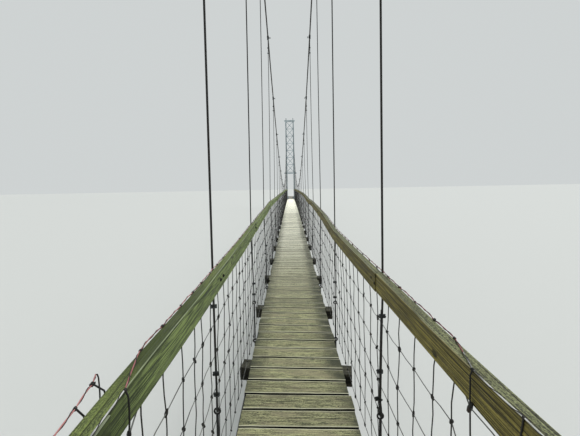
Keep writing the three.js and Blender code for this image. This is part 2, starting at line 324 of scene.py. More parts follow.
# Concrete cast against boards: joint lines, small pits, damp at the foot
def castConcrete(name, look):
    material, tree = startMaterial(name, roughness=0.9, specular=0.3)
    place = objectPlace(tree)
    z = partsOf(place)[2]
    cloud = noiseOf(place, 3.2, 6.0, 0.6)
    grit = noiseOf(place, 70.0, 3.0, 0.7)
    pits = addNode(tree, "ShaderNodeTexVoronoi", {"Vector": place, "Scale": 38.0}, "Distance")
    joint = ramp(calc("PINGPONG", z + cloud * 0.002, look["board"] / 2), 0.0, 0.0022, 1.0, 0.0)
    dents = calc("MAXIMUM", ramp(pits, 0.05, 0.16, 1.0, 0.0), joint)
    streaks = noiseOf(place, (9, 9, 1.2), 4.0, 0.6)
    colour = mixColour(ramp(cloud, 0.32, 0.68), look["dark"], look["light"])
    colour = mixColour(ramp(grit, 0.5, 0.8, 0.0, 0.35), colour, look["dark"])
    colour = mixColour(ramp(streaks, 0.5, 0.72, 0.0, 0.45), colour, look["streak"])
    colour = mixColour(ramp(z, 0.02, 0.16, 1.0, 0.0) * ramp(cloud, 0.3, 0.6, 0.3, 0.9), colour, look["moss"])
    colour = mixColour(dents * 0.5, colour, look["streak"])
    return endMaterial(material, colour, look["rough"], grit * 0.3 - dents, look)


# Coated wire of the nets' top cord, its red faded to pink in patches
def coatedWire(name, look):
    material, tree = startMaterial(name, roughness=0.45)
    place = objectPlace(tree)
    scuff = noiseOf(place, 45.0, 3.0, 0.6)
    colour = mixColour(ramp(noiseOf(place, 2.2, 3.0, 0.6), 0.42, 0.62), look["red"], look["faded"])
    colour = mixColour(ramp(scuff, 0.55, 0.7, 0.0, 0.7), colour, look["worn"])
    return endMaterial(material, colour, ramp(scuff, 0.3, 0.7, *look["rough"]), scuff, look)


deckTimber = timber("deckTimber", {
    "dark": (0.036, 0.040, 0.018), "light": (0.505, 0.500, 0.262), "groove": (0.003, 0.003, 0.002),
    "stain": (0.030, 0.035, 0.017), "bleachedAndLit": (0.95, 0.94, 0.79), "arris": (0.70, 0.69, 0.50),
    "tint": (0.300, 0.262, 0.165),
    "rings": 60.0, "ringShare": 0.06, "streakShare": 0.24, "mottleShare": 0.34, "fibre": (16, 210, 210),
    "streak": (5, 110, 110), "mottle": (95, 170, 170), "wander": 0.04, "blotches": 0.12, "cracks": 0.9,
    "toneSpread": 0.16, "gloss": 0.3, "rough": (0.65, 0.88), "relief": 0.0016, "contrast": (0.18, 0.80),
    "rim": 0.098,
})
leftRailTimber = timber("leftRailTimber", {
    "dark": (0.030, 0.044, 0.014), "light": (0.268, 0.348, 0.112), "groove": (0.010, 0.012, 0.005),
    "stain": (0.034, 0.050, 0.010), "bleachedAndLit": (0.45, 0.47, 0.38), "arris": (0.33, 0.37, 0.24),
    "topDark": (0.040, 0.054, 0.012), "topLight": (0.245, 0.305, 0.085), "band": (0.0030, 0.0060, 1.0),
    "rings": 95.0, "ringShare": 0.22, "streakShare": 0.34, "mottleShare": 0.08, "fibre": (6, 220, 220),
    "streak": (1.6, 190, 190), "mottle": (150, 280, 280), "wander": 0.03, "blotches": 0.1, "cracks": 0.6,
    "toneSpread": 0.12, "gloss": 0.3, "rough": (0.62, 0.86), "relief": 0.0009, "contrast": (0.19, 0.79),
})
rightRailTimber = timber("rightRailTimber", {
    "dark": (0.040, 0.032, 0.009), "light": (0.315, 0.264, 0.070), "groove": (0.012, 0.009, 0.003),
    "stain": (0.050, 0.044, 0.018), "bleachedAndLit": (0.45, 0.44, 0.34), "arris": (0.30, 0.27, 0.16),
    "topDark": (0.010, 0.012, 0.006), "topLight": (0.285, 0.300, 0.145), "band": (0.0035, 0.020, 0.55),
    "rings": 110.0, "ringShare": 0.15, "streakShare": 0.36, "mottleShare": 0.10, "fibre": (5, 320, 320),
    "streak": (1.3, 290, 290), "mottle": (110, 240, 240), "wander": 0.02, "blotches": 0.3, "cracks": 0.7,
    "toneSpread": 0.12, "gloss": 0.3, "rough": (0.62, 0.86), "relief": 0.0010, "contrast": (0.18, 0.82),
})
frameTimber = timber("frameTimber", {
    "dark": (0.004, 0.004, 0.003), "light": (0.070, 0.063, 0.042), "groove": (0.003, 0.003, 0.002),
    "stain": (0.010, 0.010, 0.007), "bleachedAndLit": (0.145, 0.145, 0.105), "arris": (0.12, 0.11, 0.08),
    "rings": 30.0, "ringShare": 0.15, "streakShare": 0.6, "mottleShare": 0.1, "fibre": (5, 240, 240),
    "streak": (2, 30, 30), "mottle": (40, 60, 60), "wander": 0.03, "blotches": 0.5, "cracks": 0.9,
    "toneSpread": 0.2, "gloss": 0.2, "rough": (0.75, 0.95), "relief": 0.004, "sawn": True,
})
darkRope = wireRope("darkRope", {
    "groove": (0.004, 0.004, 0.004), "crown": (0.034, 0.033, 0.030), "rust": (0.040, 0.024, 0.014),
    "rusty": 0.4, "lay": 0.035, "strands": 6, "wires": 18, "relief": 0.0016,
})
mainRope = wireRope("mainRope", {
    "groove": (0.008, 0.008, 0.007), "crown": (0.075, 0.072, 0.066), "rust": (0.07, 0.035, 0.018),
    "rusty": 0.45, "lay": 0.085, "strands": 6, "wires": 24, "relief": 0.004,
})
blackWire = dullMetal("blackWire", {
    "dark": (0.010, 0.010, 0.009), "light": (0.036, 0.034, 0.030), "rust": (0.06, 0.028, 0.014),
    "metallic": 0.3, "rusty": 0.5, "patch": 6.0, "rough": (0.5, 0.8), "relief": 0.0004,
})
greyWire = dullMetal("greyWire", {
    "dark": (0.030, 0.031, 0.028), "light": (0.17, 0.175, 0.16), "rust": (0.05, 0.03, 0.015),
    "metallic": 0.4, "rusty": 0.4, "patch": 5.0, "rough": (0.45, 0.7), "relief": 0.0003,
})
boltSteel = dullMetal("boltSteel", {
    "dark": (0.10, 0.12, 0.13), "light": (0.30, 0.35, 0.37), "rust": (0.08, 0.04, 0.02),
    "metallic": 0.6, "rusty": 0.5, "patch": 9.0, "rough": (0.4, 0.7), "relief": 0.0006,
})
paleWire = dullMetal("paleWire", {
    "dark": (0.14, 0.14, 0.13), "light": (0.70, 0.70, 0.67), "rust": (0.06, 0.05, 0.04),
    "metallic": 0.1, "rusty": 0.5, "patch": 12.0, "rough": (0.5, 0.7), "relief": 0.0003,
})
clipSteel = dullMetal("clipSteel", {
    "dark": (0.007, 0.008, 0.008), "light": (0.060, 0.068, 0.070), "rust": (0.06, 0.03, 0.015),
    "metallic": 0.6, "rusty": 0.5, "patch": 9.0, "rough": (0.4, 0.7), "relief": 0.0006,
})
forgedSteel = dullMetal("forgedSteel", {
    "dark": (0.004, 0.004, 0.004), "light": (0.022, 0.021, 0.019), "rust": (0.045, 0.022, 0.012),
    "metallic": 0.15, "rusty": 0.5, "patch": 8.0, "rough": (0.6, 0.85), "relief": 0.0006,
})
towerSteel = galvanising("towerSteel", {
    "dark": (0.30, 0.37, 0.41), "light": (0.52, 0.60, 0.63), "dirt": (0.15, 0.15, 0.12), "dirty": 0.5,
    "rough": (0.42, 0.68), "relief": 0.0008,
})
grayConcrete = castConcrete("castConcrete", {
    "dark": (0.25, 0.235, 0.20), "light": (0.46, 0.44, 0.39), "streak": (0.12, 0.11, 0.09),
    "moss": (0.07, 0.085, 0.04), "board": 0.15 * modelScale, "rough": 0.9, "relief": 0.003,
})
cordCoat = coatedWire("cordCoat", {
    "red": (0.17, 0.018, 0.022), "faded": (0.50, 0.19, 0.18), "worn": (0.055, 0.02, 0.02),
    "rough": (0.35, 0.6), "relief": 0.0006,
})
print("materials:", len(bpy.data.materials))


# Shapes are dictionaries of points, faces, corner UVs and named marks for points or faces
def roundSection(radius, sides):
    turns = [2 * math.pi * i / sides for i in range(sides)]
    return [(radius * math.cos(turn), radius * math.sin(turn)) for turn in turns]


# A board's section. worn is the cut of its inner top edge, and sign is -1 or 1 for the side that it stands on
def boardSection(wide, high, cut, worn=None, sign=1):
    x, y = wide / 2, high / 2
    worn = cut if worn is None else worn
    left, right = (cut, worn) if sign < 0 else (worn, cut)
    return [(x, -y + right), (x, y - cut), (x - cut, y), (-x + cut, y),
            (-x, y - cut), (-x, -y + left), (-x + left, -y), (x - right, -y)]


# A closed section swept along a path. side is the direction of the section's first axis
def sweep(path, section, side=(1, 0, 0), closed=False, growth=1.0, pointMarks={}, faceMarks={}):
    path, section = np.array(path, float), np.array(section, float)
    rings, count = len(path), len(section)
    tangents = np.roll(path, -1, 0) - np.roll(path, 1, 0) if closed else np.gradient(path, axis=0)
    tangents /= np.linalg.norm(tangents, axis=1)[:, None]
    side = np.broadcast_to(np.array(side, float), path.shape)
    across = side - tangents * np.sum(tangents * side, axis=1)[:, None]
    across /= np.linalg.norm(across, axis=1)[:, None]
    sized = section[None] * np.broadcast_to(growth, rings)[:, None, None]
    upward = np.cross(tangents, across)
    points = path[:, None] + across[:, None] * sized[..., :1] + upward[:, None] * sized[..., 1:]
    along = np.concatenate([[0], np.cumsum(np.linalg.norm(np.diff(path, axis=0), axis=1))])
    faces, corners, marks = [], [], []
    for i in range(rings if closed else rings - 1):
        after = (i + 1) % rings
        far = along[i] + np.linalg.norm(path[after] - path[i])
        for j in range(count):
            k = (j + 1) % count
            faces.append((i * count + j, i * count + k, after * count + k, after * count + j))
            low, high = j / count, (j + 1) / count
            corners += [(along[i], low), (along[i], high), (far, high), (far, low)]
            marks.append(j)
    if not closed:
        faces.append(tuple(range(count - 1, -1, -1)))
        faces.append(tuple((rings - 1) * count + j for j in range(count)))
        corners += [(0, 0)] * (2 * count)
        marks += [-1, -1]
    grain = [np.repeat(along, count), np.tile(section[:, 0], rings), np.tile(section[:, 1], rings)]
    onPoints = {name: np.tile(np.array(values, float), rings) for name, values in pointMarks.items()}
    onFaces = {name: np.array([*values, 0.0])[marks] for name, values in faceMarks.items()}
    return {"points": points.reshape(-1, 3), "faces": faces, "corners": corners,
            "pointMarks": {"grain": np.column_stack(grain), **onPoints}, "faceMarks": onFaces}


# A flat outline given as points in a plane, extruded along the plane's third direction
def plate(outline, origin, first, second, thick):
    first, second, origin = Vector(first).normalized(), Vector(second).normalized(), Vector(origin)
    if sum(a[0] * b[1] - b[0] * a[1] for a, b in zip(outline, outline[1:] + outline[:1])) < 0:
        outline = outline[::-1]
    normal = first.cross(second)
    base = [origin + first * a + second * b - normal * thick / 2 for a, b in outline]
    top = [point + normal * thick for point in base]
    count = len(base)
    faces = [tuple(range(count - 1, -1, -1)), tuple(range(count, 2 * count))]
    faces += [(i, (i + 1) % count, count + (i + 1) % count, count + i) for i in range(count)]
    corners = [(0, 0)] * sum(len(face) for face in faces)
    return {"points": np.array([tuple(point) for point in base + top]), "faces": faces, "corners": corners,
            "pointMarks": {}, "faceMarks": {}}


def rectangle(wide, high):
    return [(-wide / 2, -high / 2), (wide / 2, -high / 2), (wide / 2, high / 2), (-wide / 2, high / 2)]


# The four places that lie x and y from the middle
def fourOf(x, y):
    return [(dx, dy) for dx in (-x, x) for dy in (-y, y)]


# A bow of two legs and a bend: half its width, its legs' ends, the bend's start and rise
def bowOf(half, end, start, rise, steps):
    turns = np.linspace(math.pi, 0, steps)[1:-1]
    bend = [(half * math.cos(turn), start + rise * math.sin(turn)) for turn in turns]
    return [(-half, end), (-half, start), *bend, (half, start), (half, end)]


def ring(radius, thick, centre, first, second, steps=14, sides=6):
    first, second = np.array(first, float), np.array(second, float)
    turns = [2 * math.pi * i / steps for i in range(steps)]
    path = [np.array(centre) + radius * (math.cos(turn) * first + math.sin(turn) * second) for turn in turns]
    return sweep(path, roundSection(thick, sides), side=np.cross(first, second), closed=True)


def tube(start, end, radius, sides=8):
    start, end = np.array(start, float), np.array(end, float)
    side = (1, 0, 0) if abs(end - start)[0] < 0.5 * np.linalg.norm(end - start) else (0, 0, 1)
    return sweep([start, end], roundSection(radius, sides), side=side)


# A shape turned about Z and moved to its place
def placed(shape, place, turn):
    spin = np.array(((math.cos(turn), -math.sin(turn), 0), (math.sin(turn), math.cos(turn), 0), (0, 0, 1)))
    return {**shape, "points": shape["points"] @ spin.T + np.array(place)}


def mirrored(shape):
    corners, start = [], 0
    for face in shape["faces"]:
        corners += shape["corners"][start:start + len(face)][::-1]
        start += len(face)
    faces = [face[::-1] for face in shape["faces"]]
    return {**shape, "points": shape["points"] * np.array((-1, 1, 1)), "faces": faces, "corners": corners}


# A board's place in the grain, which its draws shift, and its tone
def markedBoard(shape, shift, tone):
    shape["pointMarks"]["grain"] += shift
    shape["pointMarks"]["tone"] = np.full(len(shape["points"]), tone)
    return shape


def makeMesh(name, shapes):
    faces, corners, start = [], [], 0
    for shape in shapes:
        faces += [tuple(start + i for i in face) for face in shape["faces"]]
        corners += shape["corners"]
        start += len(shape["points"])
    mesh = bpy.data.meshes.new(name)
    mesh.from_pydata(np.concatenate([shape["points"] for shape in shapes]).tolist(), [], faces)
    layer = mesh.uv_layers.new(name="UVMap")
    layer.data.foreach_set("uv", np.array(corners, np.float32).ravel())
    for kind, domain, size in (("pointMarks", "POINT", "points"), ("faceMarks", "FACE", "faces")):
        for mark in sorted({mark for shape in shapes for mark in shape[kind]}):
            width = 3 if mark == "grain" else 1
            values = []
            for shape in shapes:
                count = len(shape[size])
                values.append(np.reshape(shape[kind].get(mark, np.zeros((count, width))), (count, width)))
            attribute = mesh.attributes.new(mark, "FLOAT_VECTOR" if width == 3 else "FLOAT", domain)
            values = np.concatenate(values).astype(np.float32).ravel()
            attribute.data.foreach_set("vector" if width == 3 else "value", values)
    return mesh


def addObject(name, data):
    made = bpy.data.objects.new(name, data)
    bpy.context.scene.collection.objects.link(made)
    return made


# Hands a piece to the frame, halved unless it comes from the CAD, which is half size already
def finishPiece(piece, slot, *nodes, scale=modelScale):
    piece.data.transform(Matrix.Scale(scale, 4))
    piece.data.update()
    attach(piece, "root")
    if nodes:
        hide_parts(*nodes)


def makePiece(name, shapes, material, slot, *nodes, smooth=True):
    mesh = makeMesh(name, shapes)
    mesh.materials.append(material)
    mesh.polygons.foreach_set("use_smooth", [smooth] * len(mesh.polygons))
    finishPiece(addObject(name, mesh), slot, *nodes)


# Geometry trees: named inputs, then one run that turns the result into a plain mesh
socketKinds = {float: "Float", int: "Int", bpy.types.Material: "Material"}


def startTree(name, inputs):
    tree = bpy.data.node_groups.new(name, "GeometryNodeTree")
    tree.interface.new_socket("Geometry", in_out="INPUT", socket_type="NodeSocketGeometry")
    tree.interface.new_socket("Geometry", in_out="OUTPUT", socket_type="NodeSocketGeometry")
    for label, value in inputs.items():
        kind = value if isinstance(value, str) else socketKinds[type(value)]
        tree.interface.new_socket(label, in_out="INPUT", socket_type="NodeSocket" + kind)
    sockets = tree.nodes.new("NodeGroupInput").outputs
    return tree, {socket.name: Output(socket) for socket in sockets if socket.name}


# Sends a shape through one more node
def through(shape, kind, feeds=None, **settings):
    return addNode(treeOf(shape), "GeometryNode" + kind, {0: shape, **(feeds or {})}, **settings)


def endTree(shape, material, secondMaterial=None, secondWhere=None):
    out = through(through(shape, "RealizeInstances"), "SetMaterial", {"Material": material})
    if secondMaterial is not None:
        out = through(out, "SetMaterial", {"Material": secondMaterial, "Selection": secondWhere})
    tree = treeOf(out)
    feed(tree.nodes.new("NodeGroupOutput").inputs[0], out)
    return tree


def runTree(name, tree, inputs, slot, *nodes, source=None, smooth=True):
    holder = addObject(name + "_holder", source or bpy.data.meshes.new(name + "_holder"))
    modifier = holder.modifiers.new("shape", "NODES")
    modifier.node_group = tree
    for item in tree.interface.items_tree:
        if item.in_out == "INPUT" and item.name in inputs:
            modifier[item.identifier] = inputs[item.name]
    evaluated = holder.evaluated_get(bpy.context.evaluated_depsgraph_get())
    mesh = bpy.data.meshes.new_from_object(evaluated)
    mesh.name = name
    mesh.polygons.foreach_set("use_smooth", [smooth] * len(mesh.polygons))
    bpy.data.objects.remove(holder)
    finishPiece(addObject(name, mesh), slot, *nodes)


def randomOf(low, high, seed):
    isVector = isinstance(low, tuple)
    feeds = {8: seed, 0 if isVector else 2: low, 1 if isVector else 3: high}
    kind = "FLOAT_VECTOR" if isVector else "FLOAT"
    return addNode(treeOf(seed), "FunctionNodeRandomValue", feeds, 0 if isVector else 1, data_type=kind)


def storeMark(shape, name, value, kind="FLOAT", domain="POINT"):
    feeds = {"Name": name, "Value": value}
    return through(shape, "StoreNamedAttribute", feeds, data_type=kind, domain=domain)


def readMark(tree, name, kind="FLOAT"):
    return addNode(tree, "GeometryNodeInputNamedAttribute", {"Name": name}, data_type=kind)


def rotation(turns):
    return addNode(treeOf(turns), "FunctionNodeEulerToRotation", {0: turns})


# Smooth noise in three directions, up to half a unit each way
def wobble(tree, scale, detail):
    noise = noiseOf(addNode(tree, "GeometryNodeInputPosition"), scale, detail, 0.5, "Color")
    return calcVector("SUBTRACT", noise, (0.5, 0.5, 0.5))


# A bar along X with a four-sided outline, which one more node refines
def barOf(length, wide, high, steps, refining, feeds, **settings):
    tree = treeOf(length)
    half = length * 0.5
    ends = {"Start": vectorOf(half * -1.0, 0.0, 0.0), "End": vectorOf(half, 0.0, 0.0)}
    line = addNode(tree, "GeometryNodeCurvePrimitiveLine", ends)
    line = through(line, "ResampleCurve", {"Count": steps}, mode="COUNT")
    outline = addNode(tree, "GeometryNodeCurvePrimitiveQuadrilateral", {"Width": wide, "Height": high})
    outline = through(outline, refining, feeds, **settings)
    bar = through(line, "CurveToMesh", {"Profile Curve": outline, "Fill Caps": True})
    return storeMark(bar, "grain", addNode(tree, "GeometryNodeInputPosition"), "FLOAT_VECTOR")


# Each board gets its own tone and its own place in the grain, so that no two look alike
def markBoards(boards, seed, highest):
    boards = storeMark(boards, "tone", randomOf(-1.0, 1.0, seed), domain="INSTANCE")
    shift = randomOf((0.0, -0.09, -0.09), (40.0, 0.09, highest), seed + 1.0)
    real = through(storeMark(boards, "shift", shift, "FLOAT_VECTOR", "INSTANCE"), "RealizeInstances")
    tree = treeOf(real)
    moved = calcVector("ADD", *[readMark(tree, name, "FLOAT_VECTOR") for name in ("grain", "shift")])
    return storeMark(real, "grain", moved, "FLOAT_VECTOR")


# The deck's lean inside a tree, as a push down the far end of x
def leaning(shape):
    x, y = partsOf(addNode(treeOf(shape), "GeometryNodeInputPosition"))[:2]
    slope = ramp(y, *lean["grows"], 0.0, lean["slope"]) * ramp(y, *lean["fades"], 1.0, 0.0)
    return through(shape, "SetPosition", {"Offset": vectorOf(0.0, 0.0, x * slope * -1.0)})


deck = {
    "First plank": -27.66,
    "Pitch": 0.21667,
    "Plank width": 0.196,
    "Plank length": 0.758,
    "Thickness": 0.037,
    "Arris": 0.0016,
    "End offset": 0.011,
    "Turn": 0.006,
    "Skewed plank": 32,
    "Skew": 0.016,
    "Shrunk plank": 36,
    "Shrinkage": 0.05,
    "Nail radius": 0.0045,
    "Nail height": 0.002,
    "Nails across": 0.54,
    "Nails along": 0.13,
    "Seed": 7,
    "Half span": halfSpan,
    "Deck at tower": bridge["deckAtTower"],
    "Camber": bridge["camber"],
}
plankCount = 257


# A row of planks along the deck's arch. The nails ride on the same draws, so they sit on their planks
def plankTree(nailed):
    inputs = {"First": 0, "Count": 1, "Material": deckTimber, **deck}
    tree, given = startTree("nailRow" if nailed else "plankRow", inputs)
    index = addNode(tree, "GeometryNodeInputIndex") + given["First"]
    seed = given["First"] * 13.0 + given["Seed"]
    along = given["First plank"] + index * given["Pitch"] + randomOf(-0.003, 0.003, seed)
    share = calc("MINIMUM", abs(along), given["Half span"]) / given["Half span"]
    top = given["Deck at tower"] + (1.0 - share * share) * given["Camber"]
    offset = randomOf(-1.0, 1.0, seed + 1.0) * given["End offset"]
    place = vectorOf(offset, along, top + randomOf(-0.0215, -0.0185, seed + 2.0))
    points = addNode(tree, "GeometryNodeMeshLine", {"Count": given["Count"]})
    points = through(points, "SetPosition", {"Position": place})
    if nailed:
        feeds = {"Vertices": 8, "Radius": given["Nail radius"], "Depth": given["Nail height"]}
        head = addNode(tree, "GeometryNodeMeshCylinder", feeds)
        feeds = {0: given["Nails across"], 1: given["Nails along"], "Vertices X": 2, "Vertices Y": 2}
        grid = addNode(tree, "GeometryNodeMeshGrid", feeds)
        grid = through(grid, "Transform", {"Translation": vectorOf(0.0, 0.0, given["Thickness"] * 0.5)})
        template = through(through(grid, "InstanceOnPoints", {"Instance": head}), "RealizeInstances")
    else:
        template = barOf(given["Plank length"], given["Plank width"], given["Thickness"], 11,
                         "FilletCurve", {"Radius": given["Arris"], "Count": 1}, mode="POLY")
        across, up = partsOf(addNode(tree, "GeometryNodeInputNormal"))[1:]
        slanted = (up > 0.3) * (abs(across) > 0.3)
        # Painted shade: a plank's long sides and underside are painted almost black, as the shade down the
        # gaps
        hidden = calc("MAXIMUM", abs(across) > 0.9, up < -0.3)
        # A plank's rounded top edges, marked for their paler colour: wear and a painted highlight
        template = storeMark(template, "arris", slanted, domain="FACE")
        template = storeMark(template, "damp", hidden, domain="FACE")
        template = storeMark(template, "across", partsOf(addNode(tree, "GeometryNodeInputPosition"))[1])
    skewed = calc("COMPARE", index, given["Skewed plank"], 0.5) * given["Skew"]
    turn = randomOf(-1.0, 1.0, seed + 3.0) * given["Turn"] + skewed
    tilt, dip = randomOf(-0.008, 0.008, seed + 4.0), randomOf(-0.003, 0.003, seed + 5.0)
    size = vectorOf(1.0, 1.0 - calc("COMPARE", index, given["Shrunk plank"], 0.5) * given["Shrinkage"], 1.0)
    feeds = {"Instance": template, "Rotation": rotation(vectorOf(tilt, dip, turn)), "Scale": size}
    boards = through(points, "InstanceOnPoints", feeds)
    if nailed:
        boards = through(boards, "RealizeInstances")
    else:
        boards = warped(weathered(markBoards(boards, seed + 6.0, -0.02)))
    return endTree(leaning(boards), given["Material"])


# The deck is painted paler towards its far end, partly sun-bleaching and partly painted light for the sheen
# and bright sky over the far span, and it is stained beside the trodden middle
def weathered(boards):
    position = addNode(treeOf(boards), "GeometryNodeInputPosition")
    x, y = partsOf(position)[:2]
    # Painted light: the far planks grow paler with distance, partly standing in for the sheen and sky light
    # there
    boards = storeMark(boards, "bleach", ramp(y, -21.0, -11.8, 0.0, 0.5) + ramp(y, -6.0, 7.0, 0.0, 0.6))
    patch = noiseOf(position, (2.5, 1.1, 0), 2.0)
    reach = abs(x) + patch * 0.16 + x * 0.07 - ramp(y, -22.6, -21.6, 0.085, 0.0)
    return storeMark(boards, "stain", ramp(reach, 0.28, 0.44) * ramp(y, -14.0, 2.0, 0.95, 0.25))


def warped(boards):
    push = calcVector("MULTIPLY", wobble(treeOf(boards), 9.0, 1.0), (0.012, 0.008, 0.004))
    return through(boards, "SetPosition", {"Offset": push})


def buildDeck():
    planks, nails = plankTree(False), plankTree(True)
    first = 0
    for section in sections:
        last = min(plankCount, math.ceil((sectionRange(section)[1] - deck["First plank"]) / deck["Pitch"]))
        inputs = {**deck, "First": first, "Count": last - first, "Material": deckTimber}
        runTree(section + "_planks", planks, inputs, "deck_timber", section + "_deck_planks", smooth=False)
        inputs["Material"] = forgedSteel
        runTree(section + "_plank_nails", nails, inputs, "galvanised_steel", smooth=False)
        first = last
    print("deck:", first, "planks")


crossTimber = {
    "Length": 0.938,
    "Width": 0.186,
    "Depth": 0.106,
    "Furrow": 0.012,
    "Turn": 0.012,
    "Seed": 21,
    "Half span": halfSpan,
    "Camber": bridge["camber"],
    "Material": frameTimber,
}
# The ones in the photograph stand at these distances ahead of the eye, the first of them skewed
seenTimbers = {"first": 3, "ahead": [3.62, 5.36, 7.16, 8.83, 10.65, 12.28], "skew": -0.1}
crossTimberCount = 32
clearOfHanger = 0.13
underPlanks = 0.0386  # from the walking face down to the frame
timberMiddle = 0.055  # from there down to a cross timber's middle
joist = {"x": 0.27, "wide": 0.038, "deep": 0.14, "length": 3.4, "gap": 0.004, "cut": 0.002, "seed": 31}


def crossTimberPlaces():
    places = []
    pitch = 2 * halfSpan / crossTimberCount
    for i in range(crossTimberCount):
        y = -halfSpan + (i + 0.5) * pitch
        if 0 <= i - seenTimbers["first"] < len(seenTimbers["ahead"]):
            y = eyeY + seenTimbers["ahead"][i - seenTimbers["first"]]
        for hanger in hangerPlaces:
            if abs(hanger - y) < clearOfHanger:
                y = hanger + clearOfHanger * (-1 if y < hanger else 1)
        places.append(y)
    return places


# Rough-sawn beams under the planks, furrowed along their grain
def crossTimberTree():
    tree, given = startTree("crossTimbers", crossTimber)
    template = barOf(given["Length"], given["Width"], given["Depth"], 17, "SubdivideCurve", {"Cuts": 6})
    along = partsOf(addNode(tree, "GeometryNodeInputPosition"))[1]
    slope = along * given["Camber"] * -2.0 / (given["Half span"] * given["Half span"])
    turn = randomOf(given["Turn"] * -1.0, given["Turn"], given["Seed"]) + readMark(tree, "skew")
    feeds = {"Instance": template, "Rotation": rotation(vectorOf(slope, 0.0, turn))}
    beams = through(given["Geometry"], "InstanceOnPoints", feeds)
    beams = markBoards(beams, given["Seed"] + 1.0, 0.09)
    normal = addNode(tree, "GeometryNodeInputNormal")
    beams = storeMark(beams, "bleach", ramp(partsOf(normal)[2], 0.5, 0.9, 0.0, 0.45))
    grooves = noiseOf(readMark(tree, "grain", "FLOAT_VECTOR"), (1.2, 45, 45), 2.0)
    push = calcVector("SCALE", normal, (grooves - 0.62) * given["Furrow"])
    beams = through(beams, "SetPosition", {"Offset": push})
    return endTree(leaning(beams), given["Material"])


def buildFrame():
    tree = crossTimberTree()
    draws = random.Random(joist["seed"])
    for section in sections:
        low, high = sectionRange(section)
        places = [y for y in crossTimberPlaces() if low < y < high]
        source = bpy.data.meshes.new(section + "_cross_timber_places")
        below = underPlanks + timberMiddle
        source.from_pydata([(0, y, float(deckTop(y)) - below) for y in places], [], [])
        skews = [seenTimbers["skew"] if y == eyeY + seenTimbers["ahead"][0] else 0.0 for y in places]
        source.attributes.new("skew", "FLOAT", "POINT").data.foreach_set("value", skews)
        node = section + "_deck_frame"
        runTree(section + "_cross_timbers", tree, crossTimber, "frame_timber", node, source=source)
        start, stop = [corner.y for corner in realBox(node)]
        lengths = max(1, round((stop - start) / joist["length"]))
        shapes = []
        for sign in sideSigns.values():
            for i in range(lengths):
                a = start + (stop - start) * i / lengths + joist["gap"] / 2
                b = start + (stop - start) * (i + 1) / lengths - joist["gap"] / 2
                x, middle = sign * joist["x"], underPlanks + joist["deep"] / 2
                path = [(x, y, float(deckTop(y, x)) - middle) for y in np.linspace(a, b, 5)]
                shape = sweep(path, boardSection(joist["wide"], joist["deep"], joist["cut"]))
                shift = draws.uniform(0, 40), draws.uniform(-0.1, 0.1), 0.05
                shapes.append(markedBoard(shape, shift, draws.uniform(-1, 1)))
        makePiece(section + "_joists", shapes, frameTimber, "frame_timber", smooth=False)
    print("frame:", crossTimberCount, "cross timbers")


# How each handrail wanders: metres ahead of the eye, then outwards, upwards and the board's roll
railCourse = {
    "left": [(-2.24, 0, 0, 0), (0.3, 0.02, -0.035, 0.165), (0.7, 0.018, -0.023, 0.095),
             (1.0, 0.012, -0.014, 0.009), (1.3, 0.003, -0.010, -0.010), (1.7, 0, -0.009, 0.004),
             (2.3, -0.001, -0.008, -0.016), (3.2, -0.001, -0.006, -0.061), (4.32, 0.008, 0, -0.08),
             (5.5, 0.018, 0.008, -0.04), (6.6, 0.015, 0.013, -0.02), (7.98, 0.024, 0.035, 0),
             (9.5, 0.017, 0.023, 0), (11.64, 0.01, 0.01, 0), (15.3, 0.005, 0.005, 0)],
    "right": [(-2.24, 0, 0, 0), (-1.25, 0.03, -0.025, 0), (0.3, 0.072, -0.051, -0.202),
              (0.7, 0.060, -0.056, -0.105), (1.0, 0.052, -0.055, 0.006), (1.3, 0.040, -0.050, 0.050),
              (1.7, 0.023, -0.038, 0.007), (2.05, 0.011, -0.033, -0.012), (3.0, 0, -0.035, 0.038),
              (4.0, -0.003, -0.042, -0.021), (5.35, 0.01, -0.017, -0.12), (6.6, 0.012, -0.004, -0.06),
              (8.65, 0.018, 0.009, -0.03), (10.2, 0.005, 0.001, 0), (11.95, 0.02, 0.009, 0),
              (15.25, 0.03, 0.019, 0), (18.55, 0.02, 0.012, 0)],
}
handrail = {
    "left": {"splice": 4.32, "board": 3.66, "material": leftRailTimber},
    "right": {"splice": 2.05, "board": 3.3, "material": rightRailTimber},
    "deep": 0.089,
    "thick": 0.038,
    "top": 1.13,
    "cut": 0.002,
    "worn": 0.0019,
    "gap": 0.0008,
    "step": 0.002,  # every second board stands this far out, the others this far in
    "shortest": 0.6,
    "smoothing": 0.18,
    "wander": 0.016,
    "courseSeed": 5,
    "boardSeed": 11,
    "jitter": 0.001,
    "stiffEnd": 0.15,  # a board doesn't bend this close to its ends
    "closeUp": (0.6, 2.1, 16),  # from, to and places ahead of the eye, where a board has finer steps
    "nearSplice": 0.6,  # the left rail's first splice, ahead of the eye, and the thin board nailed over it
    "cover": {"from": 0.36, "to": 0.8, "thick": 0.006, "deep": 0.068, "cut": 0.0008, "below": 0.0025,
              "sunk": 0.0005, "tone": -2.2},
    # A darker stretch painted on top of the left rail, and one down its sides by that splice
    "grime": {"amount": 0.84, "from": (0.84, 1.0), "to": (1.55, 2.1)},
    "darkSideStretch": {"amount": 0.72, "from": (-0.6, 0.2), "to": (0.74, 1.2)},
}
railMiddle = (railInner + railOuter) / 2


def splicePlaces(side):
    look = handrail[side]
    places = []
    y = eyeY + look["splice"] - 40 * look["board"]
    while y < railEnd:
        if y > -railEnd + handrail["shortest"]:
            nearest = side == "left" and eyeY < y < eyeY + 1
            places.append(eyeY + handrail["nearSplice"] if nearest else y)
        y += look["board"]
    return [-railEnd] + [y for y in places if y < railEnd - handrail["shortest"]] + [railEnd]


